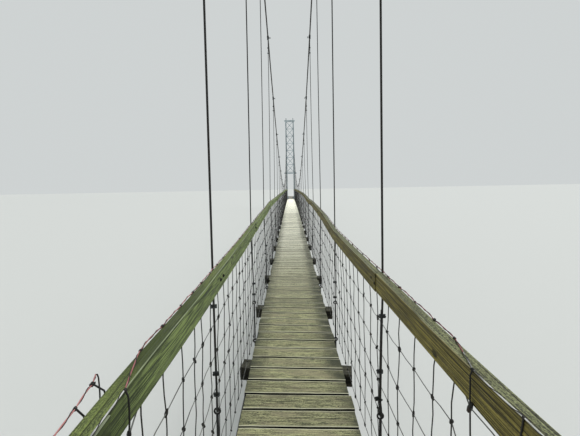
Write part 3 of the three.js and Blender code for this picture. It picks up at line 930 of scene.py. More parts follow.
# The course as points along the bridge, carried on past the last measured one by small kinks at the splices
def fullCourse(side):
    draws = random.Random(handrail["courseSeed"] + sideSigns[side])
    course = [(eyeY + ahead, out, up, roll) for ahead, out, up, roll in railCourse[side]]
    for y in splicePlaces(side):
        if y > course[-1][0] + 1:
            spread = handrail["wander"] if y < railEnd else 0
            course.append((y, draws.uniform(-spread, spread), draws.uniform(-spread, spread), 0))
    return np.array(course)


courses = {side: fullCourse(side) for side in sideSigns}


# The course is averaged over a short stretch, so that the boards bend gently
def railShift(side, y):
    course = courses[side]
    near = y + np.linspace(-handrail["smoothing"], handrail["smoothing"], 7)
    return [float(np.interp(near, course[:, 0], course[:, i]).mean()) for i in (1, 2, 3)]


def railFace(side, y, outer=True):
    return (railOuter if outer else railInner) + railShift(side, y)[0]


def railTopZ(side, y):
    return float(deckTop(y)) + handrail["top"] + railShift(side, y)[1]


# A place on the rail's section, outwards and upwards from its middle: how far out it is, and its height
def railPoint(side, y, outwards, upwards):
    roll = railShift(side, y)[2]
    size = math.hypot(1, roll)
    middle = railMiddle + railShift(side, y)[0]
    return (middle + (outwards - roll * upwards) / size,
            railTopZ(side, y) - handrail["deep"] / 2 + (upwards + roll * outwards) / size)


def railEdge(side, y, outer=True):
    return railPoint(side, y, (1 if outer else -1) * handrail["thick"] / 2, handrail["deep"] / 2)


# The direction across a rail's board, which rolls along its course
def railAcross(side, y):
    return 1, 0, sideSigns[side] * railShift(side, y)[2]


# The thin board over the left rail's first splice, on its inner face, with a painted highlight along its top
# edge
def spliceCover():
    cover = handrail["cover"]
    outwards = -(handrail["thick"] + cover["thick"]) / 2 + cover["sunk"]
    upwards = handrail["deep"] / 2 - cover["below"] - cover["deep"] / 2
    places = eyeY + np.linspace(cover["from"], cover["to"], 7)
    path = []
    for y in places:
        across, z = railPoint("left", y, outwards, upwards)
        path.append((-across, y, z))
    section = boardSection(cover["thick"], cover["deep"], cover["cut"])
    pointMarks = {"below": [0.05] * 8, "stain": [1.0] * 8}
    # Painted highlight: the top faces take the paler edge colour
    faceMarks = {"arris": [float(j > 4) for j in range(8)]}
    rolled = [railAcross("left", y) for y in places]
    shape = sweep(path, section, side=rolled, pointMarks=pointMarks, faceMarks=faceMarks)
    return markedBoard(shape, (0, 0, 0), cover["tone"])


# The marks of a board's eight sides: its top edges, worn and painted paler as a highlight, its top, and how
# far each corner lies below the top
def railMarks(section, sign):
    worn = 7 if sign > 0 else 5
    arris = [1.0 if j == 12 - worn else 0.25 if j == worn else 0.0 for j in range(8)]
    below = [down + handrail["deep"] / 2 for across, down in section]
    upper = [float(j == 6) for j in range(8)]
    return {"pointMarks": {"below": below}, "faceMarks": {"arris": arris, "upper": upper}}


def stretchOf(look, ahead):
    return look["amount"] * smoothStep(ahead, *look["from"]) * (1 - smoothStep(ahead, *look["to"]))


def buildRails():
    draws = random.Random(handrail["boardSeed"])
    jitter, stiff = handrail["jitter"], handrail["stiffEnd"]
    for side, sign in sideSigns.items():
        outline = boardSection(handrail["thick"], handrail["deep"], handrail["cut"], handrail["worn"], sign)
        splices = splicePlaces(side)
        shapes = []
        for i, (start, stop) in enumerate(zip(splices, splices[1:])):
            stop -= handrail["gap"]
            outward = (handrail["step"] if i % 2 else -handrail["step"]) + draws.uniform(-jitter, jitter)
            tone = draws.uniform(-1, 1)
            bends = [y for y in courses[side][:, 0] if start + stiff < y < stop - stiff]
            seen = [y for y in eyeY + np.linspace(*handrail["closeUp"]) if start < y < stop]
            places = sorted([start, *bends, stop, *seen, *np.linspace(start, stop, 10)[1:-1]])
            down = handrail["deep"] / 2 + abs(outward) / 4
            path = [(sign * (railMiddle + outward + railShift(side, y)[0]), y, railTopZ(side, y) - down)
                    for y in places]
            rolled = [railAcross(side, y) for y in places]
            shape = sweep(path, outline, side=rolled, **railMarks(outline, sign))
            shift = draws.uniform(0, 40), draws.uniform(-0.05, 0.05), draws.uniform(-0.04, 0.04)
            ahead = np.array(places) - eyeY
            # The left rail is painted darker over these two stretches, carried on its stain mark
            dark, sideDarkening = stretchOf(handrail["grime"], ahead), stretchOf(handrail["darkSideStretch"], ahead)
            darkened = np.outer(dark, np.arange(8) > 5) + np.outer(sideDarkening, np.arange(8) < 6)
            shape["pointMarks"]["stain"] = (darkened * (side == "left")).ravel()
            shapes.append(markedBoard(shape, shift, tone))
        if side == "left":
            shapes.append(spliceCover())
        nodes = [section + "_" + side + "_handrail" for section in sections]
        material = handrail[side]["material"]
        makePiece(side + "_handrail_boards", shapes, material, "rail_timber", *nodes, smooth=False)
    print("handrails:", sum(len(splicePlaces(side)) - 1 for side in sideSigns), "boards")


# Nets: a grid of places goes in, wires and knots come out
net = {
    "Upright radius": 0.0023,
    "Long radius": 0.0019,
    "Knot": 0.0085,
    "Wave": 0.042,
    "Seed": 3,
    "Material": blackWire,
    "Long material": greyWire,
}
# Where the nets end, in metres ahead of the eye. The long net crosses over the rail near its end
netPanels = {
    "pitch": 0.2,
    "rows": [1.131, 1.116, 1.03, 0.86, 0.69, 0.52, 0.35, 0.18, 0.01],
    "stagger": 0.009,
    "left": {"nearEnd": 0.925, "longEnd": -0.45, "crossing": 0.975,
             "coatFrom": 0, "stray": 0.048, "droop": 0.008,
             "missing": [0.4, 0.6, 0.8, 1.0, 1.2, 1.4, 1.6], "extra": [0.885, 1.085, 1.265, 1.47, 1.65]},
    "right": {"nearEnd": 0.3, "longEnd": 0.6, "crossing": 1.12,
              "coatFrom": 3, "stray": 0.0, "droop": 0.0,
              "missing": [0.6, 0.8, 1.0, 1.2, 1.4, 1.6, 1.8, 2.0],
              "extra": [0.815, 1.03, 1.23, 1.385, 1.58, 1.78, 1.965]},
    "strayLength": 0.4,
    "droopFrom": 0.3,
    "outerFoot": 0.4155,
    "innerFoot": 0.393,
    "offRail": 0.004,
    "fromBridgeEnd": 0.06,
    "lastPitch": 0.1,
}


def wavy(shape, amount):
    tree = treeOf(shape)
    push = calcVector("SCALE", wobble(tree, 6.0, 1.5), amount * readMark(tree, "slack"))
    return through(shape, "SetPosition", {"Offset": calcVector("MULTIPLY", push, (0.25, 1.6, 1.2))})


def netTree():
    tree, given = startTree("wireNet", net)
    upright = readMark(tree, "upright", "BOOLEAN")
    lying = addNode(tree, "FunctionNodeBooleanMath", {0: upright}, operation="NOT")
    parts = []
    for where, radius, isLong in ((upright, "Upright radius", 0), (lying, "Long radius", 1)):
        wire = through(given["Geometry"], "MeshToCurve", {"Selection": where})
        wire = wavy(through(wire, "SubdivideCurve", {"Cuts": 2 - isLong}), given["Wave"])
        feeds = {"Resolution": 5 - isLong, "Radius": given[radius]}
        circle = addNode(tree, "GeometryNodeCurvePrimitiveCircle", feeds)
        body = through(wire, "CurveToMesh", {"Profile Curve": circle, "Fill Caps": True})
        parts.append(storeMark(body, "long", float(isLong)))
    dots = through(given["Geometry"], "MeshToPoints", {"Selection": readMark(tree, "knotted", "BOOLEAN")})
    feeds = {"Segments": 5, "Rings": 4, "Radius": given["Knot"]}
    feeds = {
        "Instance": addNode(tree, "GeometryNodeMeshUVSphere", feeds),
        "Rotation": rotation(randomOf((-0.5, -0.5, 0.0), (0.5, 0.5, 6.0), given["Seed"])),
        "Scale": randomOf((0.6, 0.6, 0.8), (1.0, 1.0, 2.0), given["Seed"] + 1.0),
    }
    parts.append(through(wavy(dots, given["Wave"]), "InstanceOnPoints", feeds))
    joined = tree.nodes.new("GeometryNodeJoinGeometry")
    for part in parts:
        feed(joined.inputs[0], part)
    isLong = readMark(tree, "long") > 0.5
    return endTree(Output(joined.outputs[0]), given["Material"], given["Long material"], isLong)


# Each column of a net: its place ahead of the eye, its panel, and whether it hangs inside the rail
def netColumns(side):
    look = netPanels[side]
    reach = railEnd - netPanels["fromBridgeEnd"]
    start, stop = -reach - eyeY, reach - eyeY
    grid = [1.0 + netPanels["pitch"] * i for i in range(-20, 270)]
    near = [place for place in grid if start < place < look["nearEnd"] - netPanels["lastPitch"] - 0.04]
    near += [look["nearEnd"] - netPanels["lastPitch"], look["nearEnd"]]
    kept = [place for place in grid if all(abs(place - gone) > 0.01 for gone in look["missing"])]
    far = sorted([place for place in kept if look["longEnd"] < place < stop] + look["extra"])
    columns = [(place, "near", False) for place in near]
    return columns + [(place, "long", place < look["crossing"]) for place in far]


# How far the near panel's loose end leans out from the rail
def strayOf(side, place, panel):
    look, reach = netPanels[side], netPanels["strayLength"]
    share = np.clip((place - look["nearEnd"] + reach) / reach, 0, 1) if panel == "near" else 0
    return float(look["stray"] * share)


# How far its loose end hangs below the rail's top
def droopOf(side, place, panel):
    return netPanels[side]["droop"] if panel == "near" and place > netPanels["droopFrom"] else 0


def netPoint(side, column, row):
    place, panel, inside = column
    draws = random.Random(round(place * 100) * 20 + row + 9000 * sideSigns[side])
    height, y = netPanels["rows"][row], eyeY + place
    stagger = netPanels["stagger"] if row > 1 else 0
    across, topZ = railEdge(side, y, not inside)
    if row == 0:
        x = across + strayOf(side, place, panel)
    else:
        drop = max(0, 1 - height / netPanels["rows"][2])
        topX = across + (-1 if inside else 1) * netPanels["offRail"]
        topX += strayOf(side, place, panel) * 0.45 if row == 1 else 0
        footX = netPanels["innerFoot" if inside else "outerFoot"]
        x = topX + (footX - topX) * min(1, 1.6 * drop) + draws.uniform(-0.003, 0.003)
    lift = topZ - float(deckTop(y)) - handrail["top"]
    z = float(deckTop(y)) + height + lift * height / handrail["top"] + draws.uniform(-stagger, stagger)
    z -= droopOf(side, place, panel) if row < 2 else 0
    return sideSigns[side] * x, y + draws.uniform(-stagger, stagger) * 1.5, z


# A mesh of the places in one section. The wires that cross into the next section belong to this one
def netPlaces(name, side, section):
    low, high = sectionRange(section)
    rows = len(netPanels["rows"])
    columns = netColumns(side)
    points, edges, uprights = [], [], []
    before = None
    for column, after in zip(columns, columns[1:] + [None]):
        y = eyeY + column[0]
        nextIn = after is not None and low <= eyeY + after[0] < high
        if not (low <= y < high or (nextIn and after[1] == column[1])):
            before = None
            continue
        first = len(points)
        points += [netPoint(side, column, row) for row in range(rows)]
        if low <= y < high:
            edges += [(first + row - 1, first + row) for row in range(1, rows)]
            uprights += [True] * (rows - 1)
        if before is not None and before[1] == column[1]:
            edges += [(first + row - rows, first + row) for row in range(2, rows)]
            uprights += [False] * (rows - 2)
        before = column
    source = bpy.data.meshes.new(name)
    source.from_pydata(points, edges, [])
    loose = [i % rows > 1 for i in range(len(points))]
    marks = {
        "upright": ("BOOLEAN", "EDGE", uprights),
        "slack": ("FLOAT", "POINT", [float(isLoose) for isLoose in loose]),
        "knotted": ("BOOLEAN", "POINT", loose),
    }
    for mark, (kind, domain, values) in marks.items():
        source.attributes.new(mark, kind, domain).data.foreach_set("value", values)
    return source


def buildNets():
    tree = netTree()
    for side in sideSigns:
        for section in sections:
            name = section + "_" + side + "_net"
            source = netPlaces(name + "_places", side, section)
            runTree(name + "_wires", tree, net, "net_wire", name, source=source)
    print("nets: 6 pieces")


topCord = {
    "radius": 0.0016,
    "bulge": 0.0045,
    "lashing": 0.0011,
    "lashingPitch": 0.09,
    "tieRadius": 0.00252,
    "tieLength": 0.012,
    "tieWire": 0.0021,
    "tieOut": 0.002,
    "tieUp": 0.001,
    "tieSeed": 23,
    "outer": 0.001,  # the cord's place, out from the rail's outer edge
    "inner": 0.0005,  # out from its inner edge, where the cord runs inside
    "up": 0.0015,
    "fromBridgeEnd": 0.05,
    "over": (0.09, 0.1, 0.002),  # where it lies over the rail: before the crossing, past it, and its rise
    # The loose loop at the near panel's end and the hook at the long one's: outwards, along and up
    "loop": [(0.001, 0.010, 0.008), (0.002, 0.020, 0.012), (0.002, 0.028, 0.009), (0.001, 0.031, 0.0),
             (0.000, 0.030, -0.014), (-0.002, 0.027, -0.030), (-0.003, 0.024, -0.052)],
    "hook": [(0.016, 0.012, 0.003), (0.026, -0.004, 0.004), (0.02, -0.02, 0.003), (0.008, -0.016, 0.002)],
    "seed": 9,
}


def cordPoint(side, place, panel, inside, bulge):
    across, z = railEdge(side, eyeY + place, not inside)
    outer = topCord["outer"] + bulge + strayOf(side, place, panel)
    across += topCord["inner"] - bulge * 0.3 if inside else outer
    return sideSigns[side] * across, eyeY + place, z + topCord["up"] - droopOf(side, place, panel)


# The cord bulges a little between its ties
def cordPath(side, start, stop, panel, inside, draws):
    ties = [column[0] for column in netColumns(side) if column[1] == panel]
    ties = [place for place in ties if start + 0.01 < place < stop - 0.01]
    path = []
    for a, b in zip([start, *ties], [*ties, stop]):
        sag = topCord["bulge"] * draws.uniform(0.4, 1.4)
        for share in (0, 0.25, 0.5, 0.75):
            path.append(cordPoint(side, a + (b - a) * share, panel, inside, sag * math.sin(math.pi * share)))
    return path + [cordPoint(side, stop, panel, inside, 0)]


# A thin wire wound round the cord
def lashed(path):
    path = np.array(path, float)
    lengths = np.concatenate([[0], np.cumsum(np.linalg.norm(np.diff(path, axis=0), axis=1))])
    places = np.arange(0, lengths[-1], topCord["lashingPitch"] / 7)
    middle = np.column_stack([np.interp(places, lengths, path[:, i]) for i in range(3)])
    turns = places / topCord["lashingPitch"] * 2 * math.pi
    reach = topCord["radius"] + topCord["lashing"] * 0.8
    offsets = np.column_stack([np.cos(turns), np.zeros(len(turns)), np.sin(turns)]) * reach
    return sweep(middle + offsets, roundSection(topCord["lashing"], 4))


# The coated cord that each net hangs from. Its ends are bent back into loose loops
def buildTopCords():
    draws = random.Random(topCord["seed"])
    section = roundSection(topCord["radius"], 6)
    ends = railEnd - topCord["fromBridgeEnd"]
    before, past, rise = topCord["over"]
    for side, sign in sideSigns.items():
        look = netPanels[side]
        near = cordPath(side, -ends - eyeY, look["nearEnd"], "near", False, draws)
        inner = cordPath(side, look["longEnd"], look["crossing"] - before, "long", True, draws)
        outer = cordPath(side, look["crossing"] + past, ends - eyeY, "long", False, draws)
        over = np.linspace(inner[-1], outer[0], 7)[1:-1] + (0, 0, rise)
        loop, hook = [[tuple(np.array(tip) + (sign * x, y, z)) for x, y, z in topCord[part]]
                      for tip, part in ((near[-1], "loop"), (inner[0], "hook"))]
        near += loop[:3]
        line = [*hook, *inner, *map(tuple, over), *outer]
        coatFrom = len(hook) + len(inner) + look["coatFrom"]
        shapes = [sweep(line[coatFrom - 1:], section), sweep(near, section)]
        makePiece(side + "_top_cord", shapes, cordCoat, "net_wire")
        makePiece(side + "_bare_cord", [sweep(line[:coatFrom], section)], paleWire, "net_wire")
        wires = [lashed(line), lashed(near), sweep(loop[1:], roundSection(topCord["radius"] * 1.2, 6))]
        makePiece(side + "_cord_lashing", wires, blackWire, "net_wire")
    print("top cords: 2")


# Copies of one small template at many places, each with its own turn and size
def copyTree():
    tree, given = startTree("copyOnPlaces", {"Material": clipSteel, "Template": "Object"})
    feeds = {
        "Instance": addNode(tree, "GeometryNodeObjectInfo", {"Object": given["Template"]}, "Geometry"),
        "Rotation": rotation(readMark(tree, "turn", "FLOAT_VECTOR")),
        "Scale": readMark(tree, "size", "FLOAT_VECTOR"),
    }
    return endTree(through(given["Geometry"], "InstanceOnPoints", feeds), given["Material"])


copyOnPlaces = copyTree()


# places holds (position, turn, size) for each copy
def copyPiece(name, shapes, places, material, slot, smooth=True):
    template = addObject(name + "_template", makeMesh(name + "_template", shapes))
    source = bpy.data.meshes.new(name + "_places")
    source.from_pydata([tuple(place[0]) for place in places], [], [])
    turns = [place[1] for place in places]
    sizes = [[place[2]] * 3 for place in places]
    for mark, values in (("turn", turns), ("size", sizes)):
        attribute = source.attributes.new(mark, "FLOAT_VECTOR", "POINT")
        attribute.data.foreach_set("vector", np.array(values, np.float32).ravel())
    inputs = {"Template": template, "Material": material}
    runTree(name, copyOnPlaces, inputs, slot, source=source, smooth=smooth)
    bpy.data.objects.remove(template)


def buildCordTies():
    turns = [i * math.pi / 3 for i in range(19)]
    length, reach = topCord["tieLength"], topCord["tieRadius"]
    wrap = [(reach * math.cos(t), t / turns[-1] * length - length / 2, reach * math.sin(t)) for t in turns]
    shapes = [sweep(wrap, roundSection(topCord["tieWire"], 4), side=(0, 1, 0))]
    draws = random.Random(topCord["tieSeed"])
    for side, sign in sideSigns.items():
        places = []
        for place, panel, inside in netColumns(side):
            x, z = railEdge(side, eyeY + place, not inside)
            x += 0 if inside else topCord["tieOut"] + strayOf(side, place, panel)
            z += topCord["tieUp"] - droopOf(side, place, panel)
            turn = draws.uniform(-0.2, 0.2), draws.uniform(0, 6.0), draws.uniform(-0.25, 0.25)
            places.append(((sign * x, eyeY + place, z), turn, draws.uniform(0.8, 1.2)))
        copyPiece(side + "_cord_ties", shapes, places, blackWire, "net_wire")
    print("cord ties: 2 rows")


# Hangers: rope from the main cable past the rail to a thimble, a rod and ring down to the deck cable
hanger = {
    "ropeRadius": 0.0055,
    "eyeHeight": (0.33, 0.42),  # middle of the thimble above the walking face
    "eyeRadius": 0.017,
    "eyeRope": 0.94,  # the rope drawn tight round an eye, as a share of its radius
    "thimble": (0.0105, 0.0048),  # radius and thickness
    "neck": 0.06,  # from the thimble's middle up to where the rope is straight
    "top": 0.068,  # the rope's upper end below the clamp's ring
    "pastRail": (0.06, -0.12),  # it runs upright from here to there, measured from the rail's top
    "straightFrom": 0.75,
    "tailTop": (0.56, 0.98),
    "tailOffset": 0.0098,
    "tailTurn": 0.25,
    "clipSpread": 0.04,
    "clipSize": 0.84,
    "upperClips": (0.17, 0.27),  # below the clamp's ring
    "seed": 41,
}
# The three that the photograph shows best, by side and number: thimble, tail end and clips above the deck
seenHangers = {
    ("left", 1): (0.42, 0.98, [0.93, 0.6, 0.48]),
    ("right", 1): (0.38, 0.9, [0.875, 0.584, 0.445]),
    ("right", 2): (0.335, 0.56, [0.52, 0.375]),
}
clamp = {
    "long": 0.055,
    "radius": 0.0185,
    "taper": 0.86,
    "tapered": 0.006,
    "ear": (0.010, 0.9, 0.03),  # width, its share of the clamp's length, height
    "earDrop": 0.012,
    "bolts": (-0.014, 0.014),
    "bolt": 0.0048,
    "boltEnds": (0.016, -0.052),
    "boltDrop": 0.010,
    "nut": 0.0095,
    "nuts": ((-0.0095, 0.009), (0.0115, 0.008)),  # place along the bolt and thickness
    "ring": (0.013, 0.0048),
    "ringDrop": 0.0525,
}
outX, alongY, upZ = (1, 0, 0), (0, 1, 0), (0, 0, 1)


# Where a clamp sits so that its ring is straight above the hanger: its y, its slope and the ring's height
def clampPlace(y):
    slope = math.atan(2 * bridge["cableCurve"] * y)
    place = y - clamp["ringDrop"] * math.sin(slope)
    return place, slope, cableZ(place) - clamp["ringDrop"] * math.cos(slope)


def hangerTurns():
    draws = random.Random(hanger["seed"])
    reach = hanger["tailTurn"]
    return {(side, i): draws.uniform(-reach, reach) for side in sideSigns for i in range(len(hangerPlaces))}


# Each hanger's thimble, tail end and clips, above the walking face
def hangerFittings():
    draws = random.Random(hanger["seed"] + 1)
    fittings = {}
    for side in sideSigns:
        for i in range(len(hangerPlaces)):
            eye, tail = draws.uniform(*hanger["eyeHeight"]), draws.uniform(*hanger["tailTop"])
            clips = [eye + 0.06, eye + 0.17, 0.86]
            clips = [height + draws.uniform(0, 1) * hanger["clipSpread"] for height in clips]
            clips = [height for height in clips if height < tail - 0.01]
            fittings[side, i] = seenHangers.get((side, i), (eye, tail, clips))
    return fittings


def hangerPath(side, y, eye=0.375):
    foot = float(deckTop(y))
    reach = max(railPoint(side, y, handrail["thick"] / 2, sign * handrail["deep"] / 2)[0] for sign in (-1, 1))
    bowed = max(cableX, reach + hanger["ropeRadius"] + 0.002)
    above, below = [railTopZ(side, y) + shift for shift in hanger["pastRail"]]
    top = clampPlace(y)[2] - hanger["top"]
    path = [(cableX, top)]
    for share in (0.75, 0.5, 0.3, 0.15, 0.06):
        path.append((cableX + (bowed - cableX) * (1 - share) ** 2, above + (top - above) * share))
    path += [(bowed, above), (bowed, below), ((bowed + cableX) / 2, foot + hanger["straightFrom"])]
    path.append((cableX, foot + eye + hanger["neck"]))
    return [(sideSigns[side] * x, y, z) for x, z in path]


def ropeX(side, y, z):
    path = hangerPath(side, y)[::-1]
    return float(np.interp(z, [point[2] for point in path], [point[0] for point in path]))


# The eye that the rope makes round its thimble, from the standing part to the tail
def eyePath(side, y, across, eye, tailTop):
    radius, foot = hanger["eyeRadius"], float(deckTop(y))
    centre = np.array((sideSigns[side] * cableX, y, foot + eye))
    turns = [math.pi * (1 + i / 8) for i in range(9)]
    path = [(0, hanger["neck"]), (-radius * 0.6, hanger["neck"] / 2)]
    path += [(radius * math.cos(turn), radius * math.sin(turn)) for turn in turns]
    path.append((radius * 0.6, hanger["neck"] / 2))
    path = [centre + across * reach + np.array(upZ) * rise for reach, rise in path]
    for z in np.linspace(foot + eye + hanger["neck"], foot + tailTop, 6):
        path.append(np.array((ropeX(side, y, z), y, z)) + across * hanger["tailOffset"])
    return path


# The loop at a hanger's top, through the clamp's ring: across the rope, then below the ring's middle
upperLoop = [(0.0, 0.078), (-0.004, 0.062), (-0.009, 0.042), (-0.0118, 0.024), (-0.0112, 0.012),
             (-0.0066, 0.004), (0.0, 0.0012), (0.0066, 0.004), (0.0112, 0.012), (0.0118, 0.024),
             (0.0115, 0.045), (0.0112, 0.075), (0.0108, 0.3)]


def buildHangers():
    turns, fittings = hangerTurns(), hangerFittings()
    rope = roundSection(hanger["ropeRadius"], 8)
    thin = roundSection(hanger["ropeRadius"] * hanger["eyeRope"], 6)
    for side, sign in sideSigns.items():
        ropes, thimbles = [], []
        for i, y in enumerate(hangerPlaces):
            across = np.array((math.sin(turns[side, i]), math.cos(turns[side, i]), 0))
            normal = np.cross(across, upZ)
            eye, tailTop, clips = fittings[side, i]
            centre = sign * cableX, y, float(deckTop(y)) + eye
            top = np.array((sign * cableX, y, clampPlace(y)[2]))
            upper = [top - np.array((0, 0, drop)) + across * reach for reach, drop in upperLoop]
            ropes.append(sweep(hangerPath(side, y, eye), rope, side=alongY))
            ropes.append(sweep(eyePath(side, y, across, eye, tailTop), thin, side=normal))
            ropes.append(sweep(upper, thin, side=normal))
            thimbles.append(ring(*hanger["thimble"], centre, across, upZ, 12))
        ends = halfSpan - bridge["deckCableShort"]
        line = [(sign * cableX, y, float(deckTop(y, sign * cableX)) - bridge["deckCableDepth"])
                for y in np.linspace(-ends, ends, 101)]
        ropes.append(sweep(line, roundSection(bridge["deckCableRadius"], 10)))
        makePiece(side + "_hanger_ropes", ropes, darkRope, "wire_rope", side + "_hangers_and_deck_cable")
        makePiece(side + "_thimbles", thimbles, clipSteel, "galvanised_steel")
    print("hangers:", 2 * len(hangerPlaces))


# A U-bolt over both ropes, its saddle below them and two nuts
clip = {
    "half": 0.0125,
    "leg": -0.030,
    "rod": 0.0034,
    "saddle": [(-0.019, -0.012), (0.019, -0.012), (0.017, -0.024), (-0.017, -0.024)],
    "saddleThick": 0.022,
    "nut": 0.0072,
    "nutThick": 0.007,
    "nutPlace": -0.0275,
    "seed": 43,
}


def ropeClip():
    half, leg = clip["half"], clip["leg"]
    bend = [(half * math.cos(turn), half * math.sin(turn) + 0.002, 0) for turn in np.linspace(math.pi, 0, 7)]
    bend = [(-half, leg, 0), (-half, -0.004, 0), *bend, (half, -0.004, 0), (half, leg, 0)]
    nut = roundSection(clip["nut"], 6)
    return [
        sweep(bend, roundSection(clip["rod"], 6), side=upZ),
        plate(clip["saddle"], (0, 0, 0), outX, alongY, clip["saddleThick"]),
        *[plate(nut, (x, clip["nutPlace"], 0), outX, upZ, clip["nutThick"]) for x in (-half, half)],
    ]


def buildClips():
    draws = random.Random(clip["seed"])
    turns, fittings = hangerTurns(), hangerFittings()
    for side, sign in sideSigns.items():
        places = []
        for i, y in enumerate(hangerPlaces):
            angle = turns[side, i]
            across = Vector((math.sin(angle), math.cos(angle), 0)) * hanger["tailOffset"] / 2
            foot = float(deckTop(y))
            for height in fittings[side, i][2]:
                turn = (0.0, 0.0, -angle + draws.choice((0, math.pi)) + draws.uniform(-0.3, 0.3))
                place = (ropeX(side, y, foot + height) + across.x, y + across.y, foot + height)
                places.append((place, turn, hanger["clipSize"]))
            for drop in hanger["upperClips"]:
                turn = (0.0, 0.0, -angle + draws.choice((0, math.pi)))
                place = (sign * cableX + across.x, y + across.y, clampPlace(y)[2] - drop)
                places.append((place, turn, hanger["clipSize"]))
        copyPiece(side + "_rope_clips", ropeClip(), places, clipSteel, "galvanised_steel")
    print("rope clips: 2 rows")


# Radii come before thicknesses. The shackle holds the deck cable, with its pin below
hangerRod = {
    "radius": 0.0072,
    "eye": (0.0145, 0.0052),
    "eyeDrop": 0.0165,  # below the thimble's middle
    "foot": 0.015,  # above the ring's top
    "lowerEye": (0.0135, 0.0045),
    "lowerEyeRise": 0.0015,
    "ring": (0.0165, 0.0075),
    "ringHeight": -0.058,
    "shackle": {"half": 0.017, "ends": -0.006, "start": -0.008, "rise": 0.02, "thick": 0.0045},
    "pin": {"half": 0.026, "below": 0.0155, "radius": 0.0055},
    "turnSeed": 47,
}


# Rod with a forged eye, the ring at the deck's edge and the shackle round the deck cable
def hangerFoot(eye, drop):
    eyeZ, ringZ = eye - hangerRod["eyeDrop"], hangerRod["ringHeight"]
    ringTop, ringBottom = ringZ + hangerRod["ring"][0], ringZ - hangerRod["ring"][0]
    cableLevel = -bridge["deckCableDepth"] - drop
    shackle, pin = hangerRod["shackle"], hangerRod["pin"]
    end, start = cableLevel + shackle["ends"], ringBottom + shackle["start"]
    bow = bowOf(shackle["half"], end, start, shackle["rise"], 9)
    pinEnds = [(0, y, cableLevel - pin["below"]) for y in (-pin["half"], pin["half"])]
    return [
        ring(*hangerRod["eye"], (0, 0, eyeZ), outX, upZ),
        tube((0, 0, eyeZ - hangerRod["eye"][0]), (0, 0, ringTop + hangerRod["foot"]), hangerRod["radius"]),
        ring(*hangerRod["lowerEye"], (0, 0, ringTop + hangerRod["lowerEyeRise"]), alongY, upZ),
        ring(*hangerRod["ring"], (0, 0, ringZ), outX, upZ, 16),
        sweep([(0, along, z) for along, z in bow], roundSection(shackle["thick"], 6), side=outX),
        tube(*pinEnds, pin["radius"]),
    ]


# Band clamp that holds a hanger to the main cable, its bolt ends pointing inwards
def cableClamp():
    radius, half, nut = clamp["radius"], clamp["long"] / 2, roundSection(clamp["nut"], 6)
    boltZ = -radius - clamp["boltDrop"]
    band = [(0, y, 0) for y in (-half, -half + clamp["tapered"], half - clamp["tapered"], half)]
    wide, share, high = clamp["ear"]
    ear = rectangle(wide, clamp["long"] * share)
    shapes = [sweep(band, roundSection(radius, 14), growth=[clamp["taper"], 1.0, 1.0, clamp["taper"]]),
              plate(ear, (0, 0, -radius - clamp["earDrop"]), outX, alongY, high)]
    for y in clamp["bolts"]:
        shapes.append(tube(*[(x, y, boltZ) for x in clamp["boltEnds"]], clamp["bolt"]))
        shapes += [plate(nut, (x, y, boltZ), alongY, upZ, thick) for x, thick in clamp["nuts"]]
    return shapes + [ring(*clamp["ring"], (0, 0, -clamp["ringDrop"]), outX, upZ)]


def buildHangerSteel():
    draws = random.Random(hangerRod["turnSeed"])
    fittings = hangerFittings()
    for side, sign in sideSigns.items():
        feet, clamps = [], []
        for i, y in enumerate(hangerPlaces):
            turn = draws.uniform(-0.3, 0.3)
            foot = hangerFoot(fittings[side, i][0], float(sign * cableX * leanAt(y)))
            feet += [placed(shape, (sign * cableX, y, float(deckTop(y))), turn) for shape in foot]
            place, slope = clampPlace(y)[:2]
            clamps.append(((sign * cableX, place, cableZ(place)), (slope, 0.0, 0.0), 1.0))
        makePiece(side + "_hanger_rods", feet, forgedSteel, "galvanised_steel")
        shapes = cableClamp() if sign > 0 else [mirrored(shape) for shape in cableClamp()]
        copyPiece(side + "_cable_clamps", shapes, clamps, clipSteel, "galvanised_steel", smooth=False)
    print("hanger rods and clamps: 96")


# U-bolts that tie each hanger to the rail: two dark bolt holes inside, a bow round the rope outside
railBolt = {
    "below": 0.045,
    "bow": 0.004,
    "along": (-0.042, 0.036),
    "spread": 0.008,
    "washer": 0.0078,
    "end": 0.0042,
    "inwards": (0.004, -0.0042, -0.0065),  # inside the rail's inner face, then the washer's and bolt's ends
    "seed": 53,
}


def buildRailBolts():
    draws = random.Random(railBolt["seed"])
    reach = hanger["ropeRadius"] * 2 + 0.003
    turns = np.linspace(0.35, math.pi - 0.35, 7)
    bend = [(0.001 + reach * math.sin(turn), -0.012 * math.cos(turn)) for turn in turns]
    bow = [(-0.004, -0.035), (0.002, -0.030), *bend, (0.002, 0.030), (-0.004, 0.035)]
    for side, sign in sideSigns.items():
        bows, holes = [], []
        for y in hangerPlaces:
            middle = railTopZ(side, y) - railBolt["below"]
            outer, inner = railFace(side, y), railFace(side, y, False)
            path = [(sign * (outer + out), y + along, middle) for out, along in bow]
            bows.append(sweep(path, roundSection(railBolt["bow"], 6), side=upZ))
            for shift in railBolt["along"]:
                z = middle + draws.uniform(-railBolt["spread"], railBolt["spread"])
                start, face, end = [(sign * (inner + out), y + shift, z) for out in railBolt["inwards"]]
                holes.append(tube(start, face, railBolt["washer"], 10))
                holes.append(tube(start, end, railBolt["end"], 6))
        makePiece(side + "_rail_bows", bows, clipSteel, "galvanised_steel")
        makePiece(side + "_rail_bolts", holes, forgedSteel, "galvanised_steel", smooth=False)
    print("rail bolts:", 2 * len(hangerPlaces))


# Main cables, with the same line as the CAD nodes but round
saddle = {"radius": 0.2, "steps": 14}
cheek = {"thick": 0.010, "gap": 0.020, "rise": 0.026, "base": 0.11}
backstayAngle = math.pi / 4


